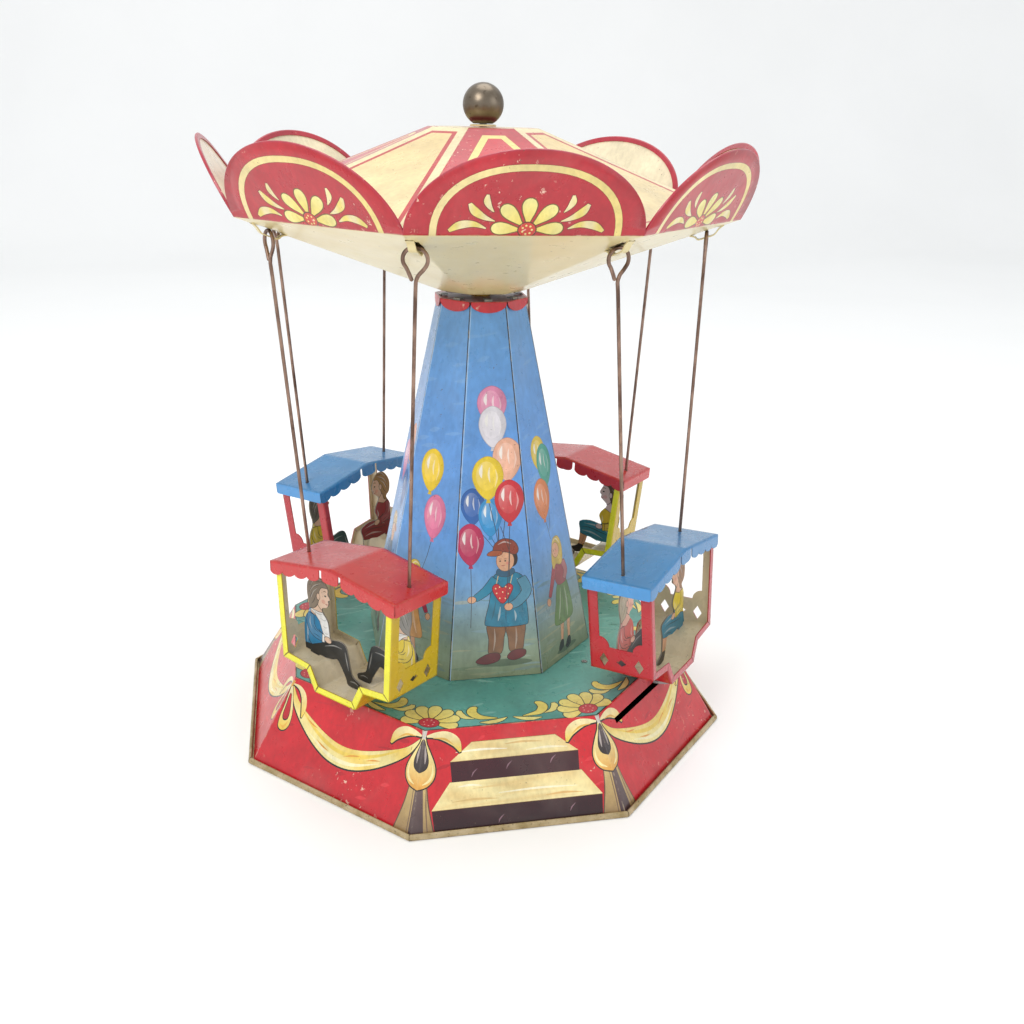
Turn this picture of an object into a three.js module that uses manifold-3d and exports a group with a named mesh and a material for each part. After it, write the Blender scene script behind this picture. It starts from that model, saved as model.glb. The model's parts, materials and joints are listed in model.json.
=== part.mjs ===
// Wind-up tin carousel: an octagonal base and tower with a clockwork movement inside, and a turning
// canopy that carries four hanging gondolas with two flat seated riders each.
// Millimetres, +Z up. The origin is the middle of the underside of the base; -Y is the side with steps.
import * as THREE from 'three';
import { mergeVertices } from 'three/addons/utils/BufferGeometryUtils.js';
import Module from 'manifold-3d';

const wasm = await Module();
wasm.setup();

// ---------- driving dimensions: shared ----------
const SIDES = 8; // base, tower, collar and canopy are regular octagons, given by corner radius
const SHEET = 0.7; // tin sheet
const GAP = 0.3; // air between pieces that touch in the real toy
const RUN = 0.12; // radial running clearance of a shaft in its bearing
const CUT = 3; // how far a cutter reaches past the sheet it cuts
const ROUND = 12; // sides of a small round piece

// ---------- driving dimensions: base and tower ----------
const RIM_R = 122.3; // base plate rim, the widest part of the base
const RIM_TOP_Z = 2.6;
const PLATE_TOP_Z = 0.8;
const SKIRT_R = 119.8; // lower edge of the sloping skirt
const SKIRT_Z = 1.1;
const DECK_R = 97.4;
const DECK_Z = 37.1;
const DECK_OPENING_R = 51; // hole in the deck under the tower, room for the movement
const TOWER_R = 56.25;
const TOWER_TOP_R = 20.2;
const TOWER_TOP_Z = 201.5;
const COLLAR_R = 20.75;
const COLLAR_Z = 202.5; // top of the collar plate
const COLLAR_LOBE = 4.5; // drop of each hanging lobe
const COLLAR_TAB = 3.4; // width of the tower tabs bent over the collar
const BEARING_R = 4.2;

// ---------- driving dimensions: canopy ----------
const CANOPY_REST_TURN = -1.15; // where the canopy has stopped, degrees from square with the base
const PAN_R = 19.8;
const PAN_Z = 205.5;
const FOLD_R = 109.8; // fold between the pan and its upturned scallops
const FOLD_Z = 239.3;
const SCALLOP_APOTHEM = 117.1; // distance of a scallop's tip from the axis
const SCALLOP_TIP_Z = 267.5;
const ROOF_R = 107.2;
const ROOF_Z = 240.6;
const ROOF_TOP_R = 24.1;
const ROOF_TOP_Z = 272.4;
const BALL_R = 8.6;
const BALL_Z = 281.4;
const SHAFT_R = 1.6;

// ---------- driving dimensions: hooks, wires and gondolas ----------
const HOOK_R = 96.5; // straps under the pan's eight ridges carry the wires
const HOOK_Z = 233.9; // the wires swing about this height
const STRAP_HALF_WIDTH = 1.6;
const HOOK_SLOT = { half: 3.4, reach: 4.5 }; // the hole round each strap, across and along its ridge
const WIRE_R = 0.75;
const LOOP_R = 4.2; // middle line of the wire's eye
const HANG_R = HOOK_R * Math.cos(Math.PI / SIDES); // the gondolas hang this far from the axis
const HANG_X = HOOK_R * Math.sin(Math.PI / SIDES); // half the distance between a gondola's two hooks
const WIRE_FOOT_X = 28.9; // where a wire goes through the gondola roof
const GONDOLA_ANGLES = [-45, 45, 135, -135]; // from the steps' side, anticlockwise from above
const CABIN_ROOF_X = 35.85; // half length of the roof
const CABIN_ROOF_Y = 16; // half width of the roof
const CABIN_RIDGE_Z = 106;
const CABIN_EAVE_Z = 100.5;
const FASCIA = 5.4; // plain turned-down ends of the roof
const CABIN_Y = 15; // half width of the body
const FLANGE = 3; // turned-in edges of the body's strip
const WIRE_HOLE_R = 1.4; // holes in the roof for the wires
const WIRE_BELOW_ROOF = 2.2; // how far a wire runs on under the roof before its foot
const HANG_PIVOT_Z = 100; // the turns of HANG are about this point of a gondola's middle line
// How each gondola has settled on its wires: a shift in its own place, then turns in degrees.
const HANG = [
  { shift: [1.2, 2.7, -1.6], tilt: -1.6, roll: -0.5, yaw: -1.7 },
  { shift: [7.2, -1.3, -2.6], tilt: -4.2, roll: -0.5, yaw: 2.3 },
  { shift: [-0.9, -0.8, 0.7], tilt: 2.4, roll: -1.4, yaw: 3 },
  { shift: [-5.4, -2.1, -0.7], tilt: 3.1, roll: 2.1, yaw: -0.7 },
];

// ---------- driving dimensions: riders, flat tin figures that face +X on the left seat ----------
const RIDER_Y = [-3.5, 3, -3.5, 3]; // a left rider's distance from each gondola's middle
const RIDER_TAB = { left: -26, right: -21, foot: 54.2, top: 59 }; // stands in a slot in the seat
const TROUSERS_RIDER = [
  [-29, 57], [-29.4, 64.4], [-28.8, 71.6], [-25.9, 77], [-27, 84], [-26.4, 89.5], [-23, 92.6], [-20, 93],
  [-16.4, 91.6], [-14.2, 88.6], [-14.4, 86.6], [-12.9, 84.6], [-14.2, 83.6], [-13.9, 82.2], [-15.2, 80.2],
  [-17.6, 79.4], [-18, 77.4], [-14.8, 73.6], [-13.9, 68.4], [-13.2, 65.6], [-7.6, 66.4], [-4.2, 65],
  [-2.7, 60], [-1.6, 55], [-0.3, 51.8], [4.2, 49.6], [4.2, 47.6], [3, 46.9], [-3, 47], [-4.4, 50],
  [-7.4, 55], [-9.4, 57.4], [-12, 56.6], [-16.8, 55.9],
];
const SKIRT_RIDER = [
  [-27.5, 57.1], [-26, 64], [-26.5, 72.5], [-24, 77.5], [-26.8, 80], [-27.5, 86], [-24, 91.5], [-20, 92.4],
  [-16.2, 90.5], [-14.6, 87.6], [-13.4, 84.8], [-14.5, 83.4], [-14.3, 82], [-15.6, 80.8], [-18.4, 78],
  [-15.4, 74], [-14.4, 71], [-16, 66.4], [-9, 67], [-2.6, 65], [-3.4, 59.6], [-3.2, 54], [-2.4, 50.8],
  [1.8, 48.6], [1.6, 46.9], [-4.4, 47], [-7.2, 54], [-8.4, 57.4], [-14, 56.2],
];

// ---------- driving dimensions: movement (all arbors along Y) ----------
const FRAME_Y = 14; // inner faces of the two movement plates
const FRAME_PLATE = 0.8;
const GREAT_TEETH = 36;
const SECOND_PINION_TEETH = 10;
const SECOND_WHEEL_TEETH = 32;
const CROWN_TEETH = 32;
const SHAFT_PINION_TEETH = 8;
const THIRD_PINION_TEETH = 8;
const THIRD_WHEEL_TEETH = 24;
const GOVERNOR_PINION_TEETH = 7;
const TRAIN_MODULE = 1;
const GOVERNOR_MODULE = 0.9;
const GREAT_AXIS = { x: 0, z: 23 };
const SECOND_AXIS = { x: 0, z: GREAT_AXIS.z + (GREAT_TEETH + SECOND_PINION_TEETH) / 2 * TRAIN_MODULE };
const THIRD_AXIS = meshedAxis(
  SECOND_AXIS, (SECOND_WHEEL_TEETH + THIRD_PINION_TEETH) / 2 * TRAIN_MODULE, 18);
const GOVERNOR_AXIS = meshedAxis(
  THIRD_AXIS, (THIRD_WHEEL_TEETH + GOVERNOR_PINION_TEETH) / 2 * GOVERNOR_MODULE, 11.5);
const ARBOR_R = { winding: 2, second: 1.4, third: 1.2, governor: 1 };
const PILLARS = [{ x: -18, z: 6.5 }, { x: 18, z: 6.5 }, { x: -22, z: 66 }, { x: 26, z: 66 }];
const PILLAR_R = 1.8;
const CROWN_TIP_Y = -3.6; // tips of the crown wheel's teeth, beside the upright shaft
const BRACKET_Z = 53.4; // lower bearing of the upright shaft

// ---------- driving dimensions: stop lever ----------
const LEVER_PIVOT_R = 62; // from the main axis, under the deck
const LEVER_Z = 30.2;
const LEVER_SHEET = 1;
const LEVER_HALF_WIDTH = 2.5;
const LEVER_OUT = 41;
const LEVER_IN = 24;
const LEVER_ANGLE = 45; // the face of the skirt with the slot
const LEVER_REST = 25.8; // degrees from square with that face, at the stop end of the slot
const LEVER_BEND = 35; // between the outer arm's line and the brake arm
const SLOT = { left: -27, right: 21, low: 32.5, high: 35.1 }; // on the slope, from the face's lower edge

// ---------- small geometry helpers ----------
function meshedAxis(from, distance, dx) {
  return { x: from.x + dx, z: from.z - Math.sqrt(distance ** 2 - dx ** 2) };
}

function radians(degrees) {
  return degrees * Math.PI / 180;
}

function apothem(cornerRadius) {
  return cornerRadius * Math.cos(Math.PI / SIDES);
}

// Corner radius of an octagonal hole that clears a round shaft.
function octagonRound(radius) {
  return radius / Math.cos(Math.PI / SIDES);
}

// A closed three.js geometry as a solid with its faces pointing out.
function toSolid(geometry) {
  const bare = new THREE.BufferGeometry();
  bare.setAttribute('position', geometry.attributes.position);
  if (geometry.index) bare.setIndex(geometry.index);
  const merged = mergeVertices(bare, 1e-4);
  const position = merged.attributes.position;
  const corners = [];
  let volume = 0;
  const p = [new THREE.Vector3(), new THREE.Vector3(), new THREE.Vector3()];
  for (let i = 0; i < merged.index.count; i += 3) {
    const tri = [0, 1, 2].map((k) => merged.index.getX(i + k));
    if (new Set(tri).size < 3) continue;
    corners.push(...tri);
    tri.forEach((v, k) => p[k].fromBufferAttribute(position, v));
    volume += p[0].dot(p[1].clone().cross(p[2]));
  }
  if (volume < 0) corners.reverse();
  return new wasm.Manifold(new wasm.Mesh({
    numProp: 3,
    vertProperties: new Float32Array(position.array),
    triVerts: new Uint32Array(corners),
  }));
}

// A profile of [radius, height] points turned about Z. Eight segments make an octagon with flat sides
// facing the axes; other numbers make a round piece.
function turned(profile, segments = SIDES) {
  const onAxis = profile[0][0] === 0 && profile.at(-1)[0] === 0;
  const points = (onAxis ? profile : [...profile, profile[0]]).map(([r, z]) => new THREE.Vector2(r, z));
  const phase = segments === SIDES ? Math.PI / SIDES : 0;
  const lathe = new THREE.LatheGeometry(points, segments, phase, 2 * Math.PI);
  return toSolid(lathe.rotateX(Math.PI / 2));
}

// The same about a line along +Y through (x, z).
function turnedAlongY(profile, segments, { x, z }) {
  return moved(turned(profile, segments), new THREE.Matrix4().makeRotationX(-Math.PI / 2), [x, 0, z]);
}

function tube(outer, inner, low, high) {
  return [[outer, low], [outer, high], [inner, high], [inner, low]];
}

function rod(radius, low, high) {
  return [[0, low], [radius, low], [radius, high], [0, high]];
}

function moved(solid, matrix, [x, y, z] = [0, 0, 0]) {
  const placed = new THREE.Matrix4().makeTranslation(x, y, z).multiply(matrix);
  return solid.transform(placed.elements);
}

function shifted(solid, x, y, z) {
  return solid.translate([x, y, z]);
}

function spun(solid, degrees) {
  return solid.rotate([0, 0, degrees]);
}

function box([x0, y0, z0], [x1, y1, z1]) {
  const geometry = new THREE.BoxGeometry(x1 - x0, y1 - y0, z1 - z0);
  return toSolid(geometry.translate((x0 + x1) / 2, (y0 + y1) / 2, (z0 + z1) / 2));
}

function polygon(points, holes = []) {
  const shape = new THREE.Shape(points.map(([x, y]) => new THREE.Vector2(x, y)));
  shape.holes = holes.map((hole) => new THREE.Path(hole.map(([x, y]) => new THREE.Vector2(x, y))));
  return shape;
}

function circle(radius, count, cx = 0, cy = 0) {
  return arc(radius, radius, 0, 360, count, cx, cy).slice(0, -1);
}

function arc(rx, ry, from, to, steps, cx = 0, cy = 0) {
  return Array.from({ length: steps + 1 }, (_, i) => {
    const angle = radians(from + (to - from) * i / steps);
    return [cx + rx * Math.cos(angle), cy + ry * Math.sin(angle)];
  });
}

// A shape pushed through from "low" to "high" along its own normal, then placed by a matrix.
function plate(shape, low, high, matrix = new THREE.Matrix4()) {
  const geometry = new THREE.ExtrudeGeometry(shape, { depth: high - low, bevelEnabled: false });
  return toSolid(geometry.translate(0, 0, low).applyMatrix4(matrix));
}

// A shape drawn in X and Z, filling y from "front" to "back".
function plateXZ(shape, front, back, { x, z } = { x: 0, z: 0 }) {
  const turn = new THREE.Matrix4().makeRotationX(Math.PI / 2).setPosition(x, 0, z);
  return plate(shape, -back, -front, turn);
}

// A shape drawn in Y and Z, filling x from "left" to "right".
function plateYZ(shape, left, right) {
  const turn = new THREE.Matrix4().makeBasis(
    new THREE.Vector3(0, 1, 0), new THREE.Vector3(0, 0, 1), new THREE.Vector3(1, 0, 0));
  return plate(shape, left, right, turn);
}

// Frame on one sloping side: x along the side, y up the slope, z out of the sheet. Its origin is the
// middle of the side's lower edge.
function sideFrame(degrees, low, high) {
  const outward = new THREE.Vector3(Math.sin(radians(degrees)), -Math.cos(radians(degrees)), 0);
  const along = new THREE.Vector3(Math.cos(radians(degrees)), Math.sin(radians(degrees)), 0);
  const foot = outward.clone().multiplyScalar(low.apothem).setZ(low.z);
  const head = outward.clone().multiplyScalar(high.apothem).setZ(high.z);
  const slope = head.sub(foot).normalize();
  return new THREE.Matrix4().makeBasis(along, slope, along.clone().cross(slope)).setPosition(foot);
}

function everySide(make) {
  return Array.from({ length: SIDES }, (_, i) => make(i * 360 / SIDES));
}

function joined(solids) {
  return solids.reduce((whole, next) => whole.add(next));
}

// A path moved sideways by a distance, to its left when positive, with mitred corners.
function offsetPath(points, distance) {
  const normals = points.slice(1).map(([x, y], i) => {
    const length = Math.hypot(x - points[i][0], y - points[i][1]);
    return [-(y - points[i][1]) / length, (x - points[i][0]) / length];
  });
  return points.map(([x, y], i) => {
    const before = normals[Math.max(i - 1, 0)];
    const after = normals[Math.min(i, normals.length - 1)];
    const spread = 1 + before[0] * after[0] + before[1] * after[1];
    return [x + distance * (before[0] + after[0]) / spread, y + distance * (before[1] + after[1]) / spread];
  });
}

// ---------- naming, colours and the scene graph ----------
function paint(color, roughness = 0.35, metalness = 0.1) {
  return new THREE.MeshStandardMaterial({ color, roughness, metalness });
}

const PAINT = {
  red: paint(0xc8373c), yellow: paint(0xe0c832), blue: paint(0x4d8fc4), cream: paint(0xd9c99a),
  sky: paint(0x5f93cc), riderA: paint(0x1f7fa8), riderB: paint(0xd2b422),
};
const METAL = {
  steel: paint(0x8d8f92, 0.4, 1), brass: paint(0xb08d4a, 0.35, 1), bronze: paint(0x6e5130, 0.35, 1),
};

function named(name, solid, material) {
  const { vertProperties, triVerts } = solid.getMesh();
  const geometry = new THREE.BufferGeometry();
  geometry.setAttribute('position', new THREE.BufferAttribute(vertProperties, 3));
  geometry.setIndex(new THREE.BufferAttribute(triVerts, 1));
  geometry.computeVertexNormals();
  const mesh = new THREE.Mesh(geometry, material.clone());
  mesh.name = name;
  return mesh;
}

// ---------- base and tower ----------
const skirtFoot = { apothem: apothem(SKIRT_R), z: SKIRT_Z };
const skirtHead = { apothem: apothem(DECK_R), z: DECK_Z };

function basePlate() {
  const lip = 1; // thickness of the crimped rim
  return turned([
    [0, 0], [RIM_R, 0], [RIM_R - lip, RIM_TOP_Z], [RIM_R - 2 * lip, RIM_TOP_Z],
    [RIM_R - 1.3 * lip, PLATE_TOP_Z], [0, PLATE_TOP_Z],
  ]);
}

function baseCover() {
  const shell = turned([
    [SKIRT_R, SKIRT_Z], [DECK_R, DECK_Z], [DECK_OPENING_R, DECK_Z],
    [DECK_OPENING_R, DECK_Z - SHEET], [DECK_R - SHEET / 2, DECK_Z - SHEET], [SKIRT_R - SHEET, SKIRT_Z],
  ]);
  const slot = polygon([
    [SLOT.left, SLOT.low], [SLOT.right, SLOT.low], [SLOT.right, SLOT.high], [SLOT.left, SLOT.high],
  ]);
  const slotCutter = plate(slot, -CUT, CUT, sideFrame(LEVER_ANGLE, skirtFoot, skirtHead));
  const keyHole = turnedAlongY(rod(4, apothem(DECK_R), RIM_R), 16, GREAT_AXIS);
  const rivetHole = shifted(turned(rod(1.5, DECK_Z - CUT, DECK_Z + CUT), 12), ...leverPivot(0));
  return shell.subtract(slotCutter).subtract(keyHole).subtract(rivetHole);
}

function towerShell() {
  const foot = DECK_Z + GAP;
  const inset = SHEET * 1.1;
  let shell = turned([
    [TOWER_R, foot], [TOWER_TOP_R, TOWER_TOP_Z],
    [TOWER_TOP_R - inset, TOWER_TOP_Z], [TOWER_R - inset, foot],
  ]);
  for (const tab of everySide((angle) => spun(towerTab(0), angle))) shell = shell.add(tab);
  return shell;
}

// A tab stands up from the tower's edge through the collar and is bent inwards over it. With "room"
// it is the slot that the tab needs.
function towerTab(room) {
  const half = COLLAR_TAB / 2 + room;
  const edge = apothem(TOWER_TOP_R);
  const top = COLLAR_Z + GAP + 0.5;
  const upright = box([-half, -edge + 0.1 - room, TOWER_TOP_Z - 1], [half, -edge + 0.7 + room, top]);
  const bent = box([-half, -edge + 0.1, COLLAR_Z + GAP], [half, -edge + 4, top]);
  return room > 0 ? upright : upright.add(bent);
}

function towerCollar() {
  let collar = turned(tube(COLLAR_R + 0.6, octagonRound(BEARING_R + GAP), COLLAR_Z - SHEET, COLLAR_Z));
  const half = (COLLAR_R + 0.6) * Math.sin(Math.PI / SIDES) - 0.5;
  const lobe = polygon(arc(half, COLLAR_LOBE + SHEET, 180, 360, 6));
  const foot = { apothem: apothem(COLLAR_R + 0.6) + 0.35, z: COLLAR_Z - COLLAR_LOBE };
  const head = { apothem: apothem(COLLAR_R + 0.6), z: COLLAR_Z };
  const lift = new THREE.Matrix4().makeTranslation(0, COLLAR_LOBE, 0);
  for (const angle of everySide((degrees) => degrees)) {
    const frame = sideFrame(angle, foot, head).multiply(lift);
    collar = collar.add(plate(lobe, -0.6, 0, frame)).subtract(spun(towerTab(GAP), angle));
  }
  return collar;
}

function topBearing() {
  const bore = SHAFT_R + RUN;
  const flange = BEARING_R + 2.4;
  const under = COLLAR_Z - SHEET - GAP;
  return turned([
    [BEARING_R, COLLAR_Z + 0.8], [bore, COLLAR_Z + 0.8], [bore, under - 9], [BEARING_R, under - 9],
    [BEARING_R, under - 1], [flange, under - 1], [flange, under], [BEARING_R, under],
  ], ROUND);
}

// ---------- canopy ----------
const foldSide = { apothem: apothem(FOLD_R), z: FOLD_Z };
const scallopTip = { apothem: SCALLOP_APOTHEM, z: SCALLOP_TIP_Z };
const SCALLOP_HALF = FOLD_R * Math.sin(Math.PI / SIDES);
const SCALLOP_RISE = Math.hypot(scallopTip.apothem - foldSide.apothem, scallopTip.z - foldSide.z);

function scallop(angle) {
  const frame = sideFrame(angle, foldSide, scallopTip);
  const edge = arc(SCALLOP_HALF, SCALLOP_RISE, 0, 180, 12);
  return plate(polygon([...edge, [-SCALLOP_HALF, -0.3], [SCALLOP_HALF, -0.3]]), -SHEET, 0, frame);
}

function panHeight(radius) {
  return PAN_Z + (radius - PAN_R) * (FOLD_Z - PAN_Z) / (FOLD_R - PAN_R);
}

// The strap under one ridge: a tongue of the pan pushed down so that a wire's eye can pass over it.
function strap() {
  const drop = 2.2;
  const path = [
    [HOOK_R - 6, panHeight(HOOK_R - 6) + SHEET / 2], [HOOK_R - 3, panHeight(HOOK_R - 3) - drop],
    [HOOK_R + 3, panHeight(HOOK_R + 3) - drop], [HOOK_R + 6, panHeight(HOOK_R + 6) + SHEET / 2],
  ];
  const outline = [...path, ...offsetPath(path, -SHEET).reverse()].map(([r, z]) => [-r, z]);
  return plateYZ(polygon(outline), -STRAP_HALF_WIDTH, STRAP_HALF_WIDTH);
}

function canopyPan() {
  const rise = SHEET * 1.06;
  const bore = octagonRound(BEARING_R + GAP);
  let pan = turned([
    [bore, PAN_Z], [PAN_R, PAN_Z], [FOLD_R, FOLD_Z], [FOLD_R - 0.4, FOLD_Z + rise],
    [PAN_R - 0.2, PAN_Z + rise], [bore, PAN_Z + rise],
  ]);
  const slot = box([-HOOK_SLOT.half, -HOOK_R - HOOK_SLOT.reach, HOOK_Z - 4],
    [HOOK_SLOT.half, -HOOK_R + HOOK_SLOT.reach, HOOK_Z + 5]);
  for (const angle of everySide((degrees) => degrees + 180 / SIDES)) {
    pan = pan.subtract(spun(slot, angle)).add(spun(strap(), angle));
  }
  return pan.add(joined(everySide(scallop)));
}

function roofPanel() {
  const bore = octagonRound(SHAFT_R + GAP);
  const drop = SHEET * 1.08;
  return turned([
    [bore, ROOF_TOP_Z], [ROOF_TOP_R, ROOF_TOP_Z], [ROOF_R, ROOF_Z], [ROOF_R - 0.5, ROOF_Z - drop],
    [ROOF_TOP_R - 0.2, ROOF_TOP_Z - drop], [bore, ROOF_TOP_Z - drop],
  ]);
}

function driveHub() {
  const bore = SHAFT_R + RUN;
  const seat = PAN_Z + SHEET + GAP;
  return turned([
    [BEARING_R, PAN_Z - 1], [BEARING_R, seat], [8, seat], [8, seat + 1.4],
    [BEARING_R, seat + 1.4], [BEARING_R, seat + 9], [bore, seat + 9], [bore, PAN_Z - 1],
  ], ROUND);
}

function topWasher() {
  return turned(tube(5.6, SHAFT_R + RUN, ROOF_TOP_Z + GAP, ROOF_TOP_Z + GAP + 0.8), ROUND);
}

function finialBall() {
  const bore = SHAFT_R + RUN;
  const foot = ROOF_TOP_Z + 2 * GAP + 0.8;
  const start = Math.asin((foot - BALL_Z) / BALL_R) * 180 / Math.PI;
  const bulge = arc(BALL_R, BALL_R, start, 90, 7, 0, BALL_Z).slice(0, -1);
  return turned([[bore, foot], ...bulge, [0, BALL_Z + BALL_R], [0, BALL_Z], [bore, BALL_Z]], 16);
}

function mainShaft() {
  return turned(rod(SHAFT_R, BRACKET_Z + GAP, BALL_Z - GAP), ROUND);
}

// ---------- gears ----------
// Straight-sided teeth, a little thin, so that meshed wheels always keep a slight backlash.
function gearOutline(teeth, size, phaseDegrees) {
  const pitch = teeth * size / 2;
  const tip = pitch + 0.75 * size;
  const root = pitch - 1.05 * size;
  const step = 2 * Math.PI / teeth;
  const corners = [[root, -0.29], [tip, -0.12], [tip, 0.12], [root, 0.29]];
  return Array.from({ length: teeth }, (_, i) => corners.map(([r, share]) => {
    const angle = radians(phaseDegrees) + (i + share) * step;
    return [r * Math.cos(angle), r * Math.sin(angle)];
  })).flat();
}

function wheelAlongY(teeth, size, phase, bore, front, back, axis) {
  return plateXZ(polygon(gearOutline(teeth, size, phase), [circle(bore, 12)]), front, back, axis);
}

function pinionAlongY(teeth, size, phase, front, back, axis) {
  return plateXZ(polygon(gearOutline(teeth, size, phase)), front, back, axis);
}

function directionDegrees(from, to) {
  return Math.atan2(to.z - from.z, to.x - from.x) * 180 / Math.PI;
}

// A crown wheel: a dish whose rim is cut into teeth that point along +Y.
function crownWheel() {
  const pitch = CROWN_TEETH * TRAIN_MODULE / 2;
  const back = -8.6;
  const web = back + 0.8;
  const bore = ARBOR_R.second + RUN;
  let wheel = turnedAlongY([
    [bore, back], [pitch + 1.2, back], [pitch + 1.2, CROWN_TIP_Y], [pitch - 1.2, CROWN_TIP_Y],
    [pitch - 1.2, web], [bore, web],
  ], CROWN_TEETH, SECOND_AXIS);
  const gash = box([-0.95, web + 0.9, pitch - 3], [0.95, CROWN_TIP_Y + CUT, pitch + 3]);
  for (let i = 0; i < CROWN_TEETH; i += 1) {
    const turnedGash = gash.rotate([0, i * 360 / CROWN_TEETH, 0]);
    wheel = wheel.subtract(shifted(turnedGash, SECOND_AXIS.x, 0, SECOND_AXIS.z));
  }
  return wheel;
}

function shaftPinion() {
  const pinion = polygon(gearOutline(SHAFT_PINION_TEETH, TRAIN_MODULE, 0), [circle(SHAFT_R + RUN, 12)]);
  return plate(pinion, SECOND_AXIS.z + 13.4, SECOND_AXIS.z + 18.6);
}

// ---------- movement ----------
function movementPlate(side) {
  const outline = polygon([
    [-24, 1.1], [30, 1.1], [38, 12], [38, 60], [30, 71], [-24, 71], [-28, 64], [-28, 8],
  ]);
  const near = side * FRAME_Y;
  const far = side * (FRAME_Y + FRAME_PLATE);
  const foot = box([-20, Math.min(far, side * 22), 1.1], [26, Math.max(far, side * 22), 1.9]);
  const holes = [
    [GREAT_AXIS, ARBOR_R.winding], [SECOND_AXIS, ARBOR_R.second],
    [THIRD_AXIS, ARBOR_R.third], [GOVERNOR_AXIS, ARBOR_R.governor],
    ...PILLARS.map((pillar) => [pillar, PILLAR_R / 2]),
  ];
  let whole = plateXZ(outline, Math.min(near, far), Math.max(near, far)).add(foot);
  for (const [axis, radius] of holes) {
    const drill = turnedAlongY(rod(radius + RUN, -FRAME_Y - CUT, FRAME_Y + CUT), ROUND, axis);
    whole = whole.subtract(drill);
  }
  return whole;
}

function pillar(axis) {
  const shoulder = FRAME_Y - GAP;
  const end = FRAME_Y + FRAME_PLATE + 0.6;
  const neck = PILLAR_R / 2 - 0.03;
  return turnedAlongY([
    [0, -end], [neck, -end], [neck, -shoulder], [PILLAR_R, -shoulder],
    [PILLAR_R, shoulder], [neck, shoulder], [neck, end], [0, end],
  ], 12, axis);
}

function shaftBracket() {
  const thick = 1.2;
  const wall = FRAME_Y - GAP;
  const shelf = box([-5, -5.4, BRACKET_Z - thick], [5, wall, BRACKET_Z]);
  const riser = box([-5, wall - thick, BRACKET_Z - thick], [5, wall, BRACKET_Z + 9]);
  const seat = turned(rod(SHAFT_R + RUN + 1.2, BRACKET_Z - thick, BRACKET_Z + 3), ROUND);
  const bore = turned(rod(SHAFT_R + RUN, BRACKET_Z, BRACKET_Z + CUT + 1), ROUND);
  return shelf.add(riser).add(seat).subtract(bore);
}

function mainspring() {
  const turns = 4.5;
  const perTurn = 12;
  const inner = 4.1;
  const outer = 15.6;
  const count = Math.round(turns * perTurn);
  const start = -80;
  const coil = Array.from({ length: count + 1 }, (_, i) => {
    const radius = inner + (outer - inner) * i / count;
    const angle = radians(start + 360 * turns * i / count);
    return [radius * Math.cos(angle), radius * Math.sin(angle)];
  });
  const hook = PILLARS[0];
  const reach = PILLAR_R + GAP + 0.4;
  coil.push([hook.x - GREAT_AXIS.x + reach, hook.z - GREAT_AXIS.z + reach + 1]);
  coil.push([hook.x - GREAT_AXIS.x + reach, hook.z - GREAT_AXIS.z - reach]);
  coil.push([hook.x - GREAT_AXIS.x - reach, hook.z - GREAT_AXIS.z - reach]);
  const strip = polygon([...coil, ...offsetPath(coil, 0.5).reverse()]);
  return plateXZ(strip, 4.8, 12.6, GREAT_AXIS);
}

function greatWheel() {
  const wheel = wheelAlongY(GREAT_TEETH, TRAIN_MODULE, 0, ARBOR_R.winding + RUN, 2.6, 3.8, GREAT_AXIS);
  const studHole = plateXZ(polygon(circle(1.1, 10)), 2, CUT + 2, clickPivot());
  return wheel.subtract(studHole);
}

function clickPivot() {
  return { x: GREAT_AXIS.x - 10.6, z: GREAT_AXIS.z - 2 };
}

// The click's tip rests 0.3 mm off the ratchet's teeth.
function click() {
  const pivot = clickPivot();
  const arm = polygon([[-1.6, -1.6], [0.4, -2], [2.2, 0.6], [3.4, 3.4], [2.2, 3.8], [-1.4, 1.4]]);
  const stud = turnedAlongY(rod(0.95, 0.8, 4.3), 10, pivot);
  return plateXZ(arm, 0.7, 2.2, pivot).add(stud);
}

function ratchetWheel() {
  const teeth = 12;
  const outline = Array.from({ length: teeth }, (_, i) => {
    const angle = 2 * Math.PI * i / teeth;
    const next = angle + 2 * Math.PI / teeth * 0.92;
    return [[6.4 * Math.cos(angle), 6.4 * Math.sin(angle)], [4.9 * Math.cos(next), 4.9 * Math.sin(next)]];
  }).flat();
  return plateXZ(polygon(outline, [circle(ARBOR_R.winding + RUN, 12)]), 0.4, 2, GREAT_AXIS);
}

function windingArbor() {
  const r = ARBOR_R.winding;
  return turnedAlongY([
    [0, -FRAME_Y - FRAME_PLATE - 0.8], [r, -FRAME_Y - FRAME_PLATE - 0.8], [r, 5], [3.4, 5], [3.4, 12.4],
    [r, 12.4], [r, 109], [0, 109],
  ], ROUND, GREAT_AXIS);
}

function windingKey() {
  const ear = { x: 8.5, y: 111.4, rx: 7, ry: 4.9 };
  const hub = turnedAlongY(rod(3.6, 102.5, 113.5), ROUND, GREAT_AXIS);
  const blade = [-1, 1].map((side) => plate(
    polygon(circle(1, 16).map(([u, v]) => [side * ear.x + ear.rx * u, ear.y + ear.ry * v]),
      [circle(1, 10).map(([u, v]) => [side * (ear.x + 1.2) + 2.6 * u, ear.y + 1.9 * v])]),
    GREAT_AXIS.z - 0.8, GREAT_AXIS.z + 0.8));
  const bore = turnedAlongY(rod(ARBOR_R.winding + RUN, 101, 109.3), ROUND, GREAT_AXIS);
  return joined([hub, ...blade]).subtract(bore);
}

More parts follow.
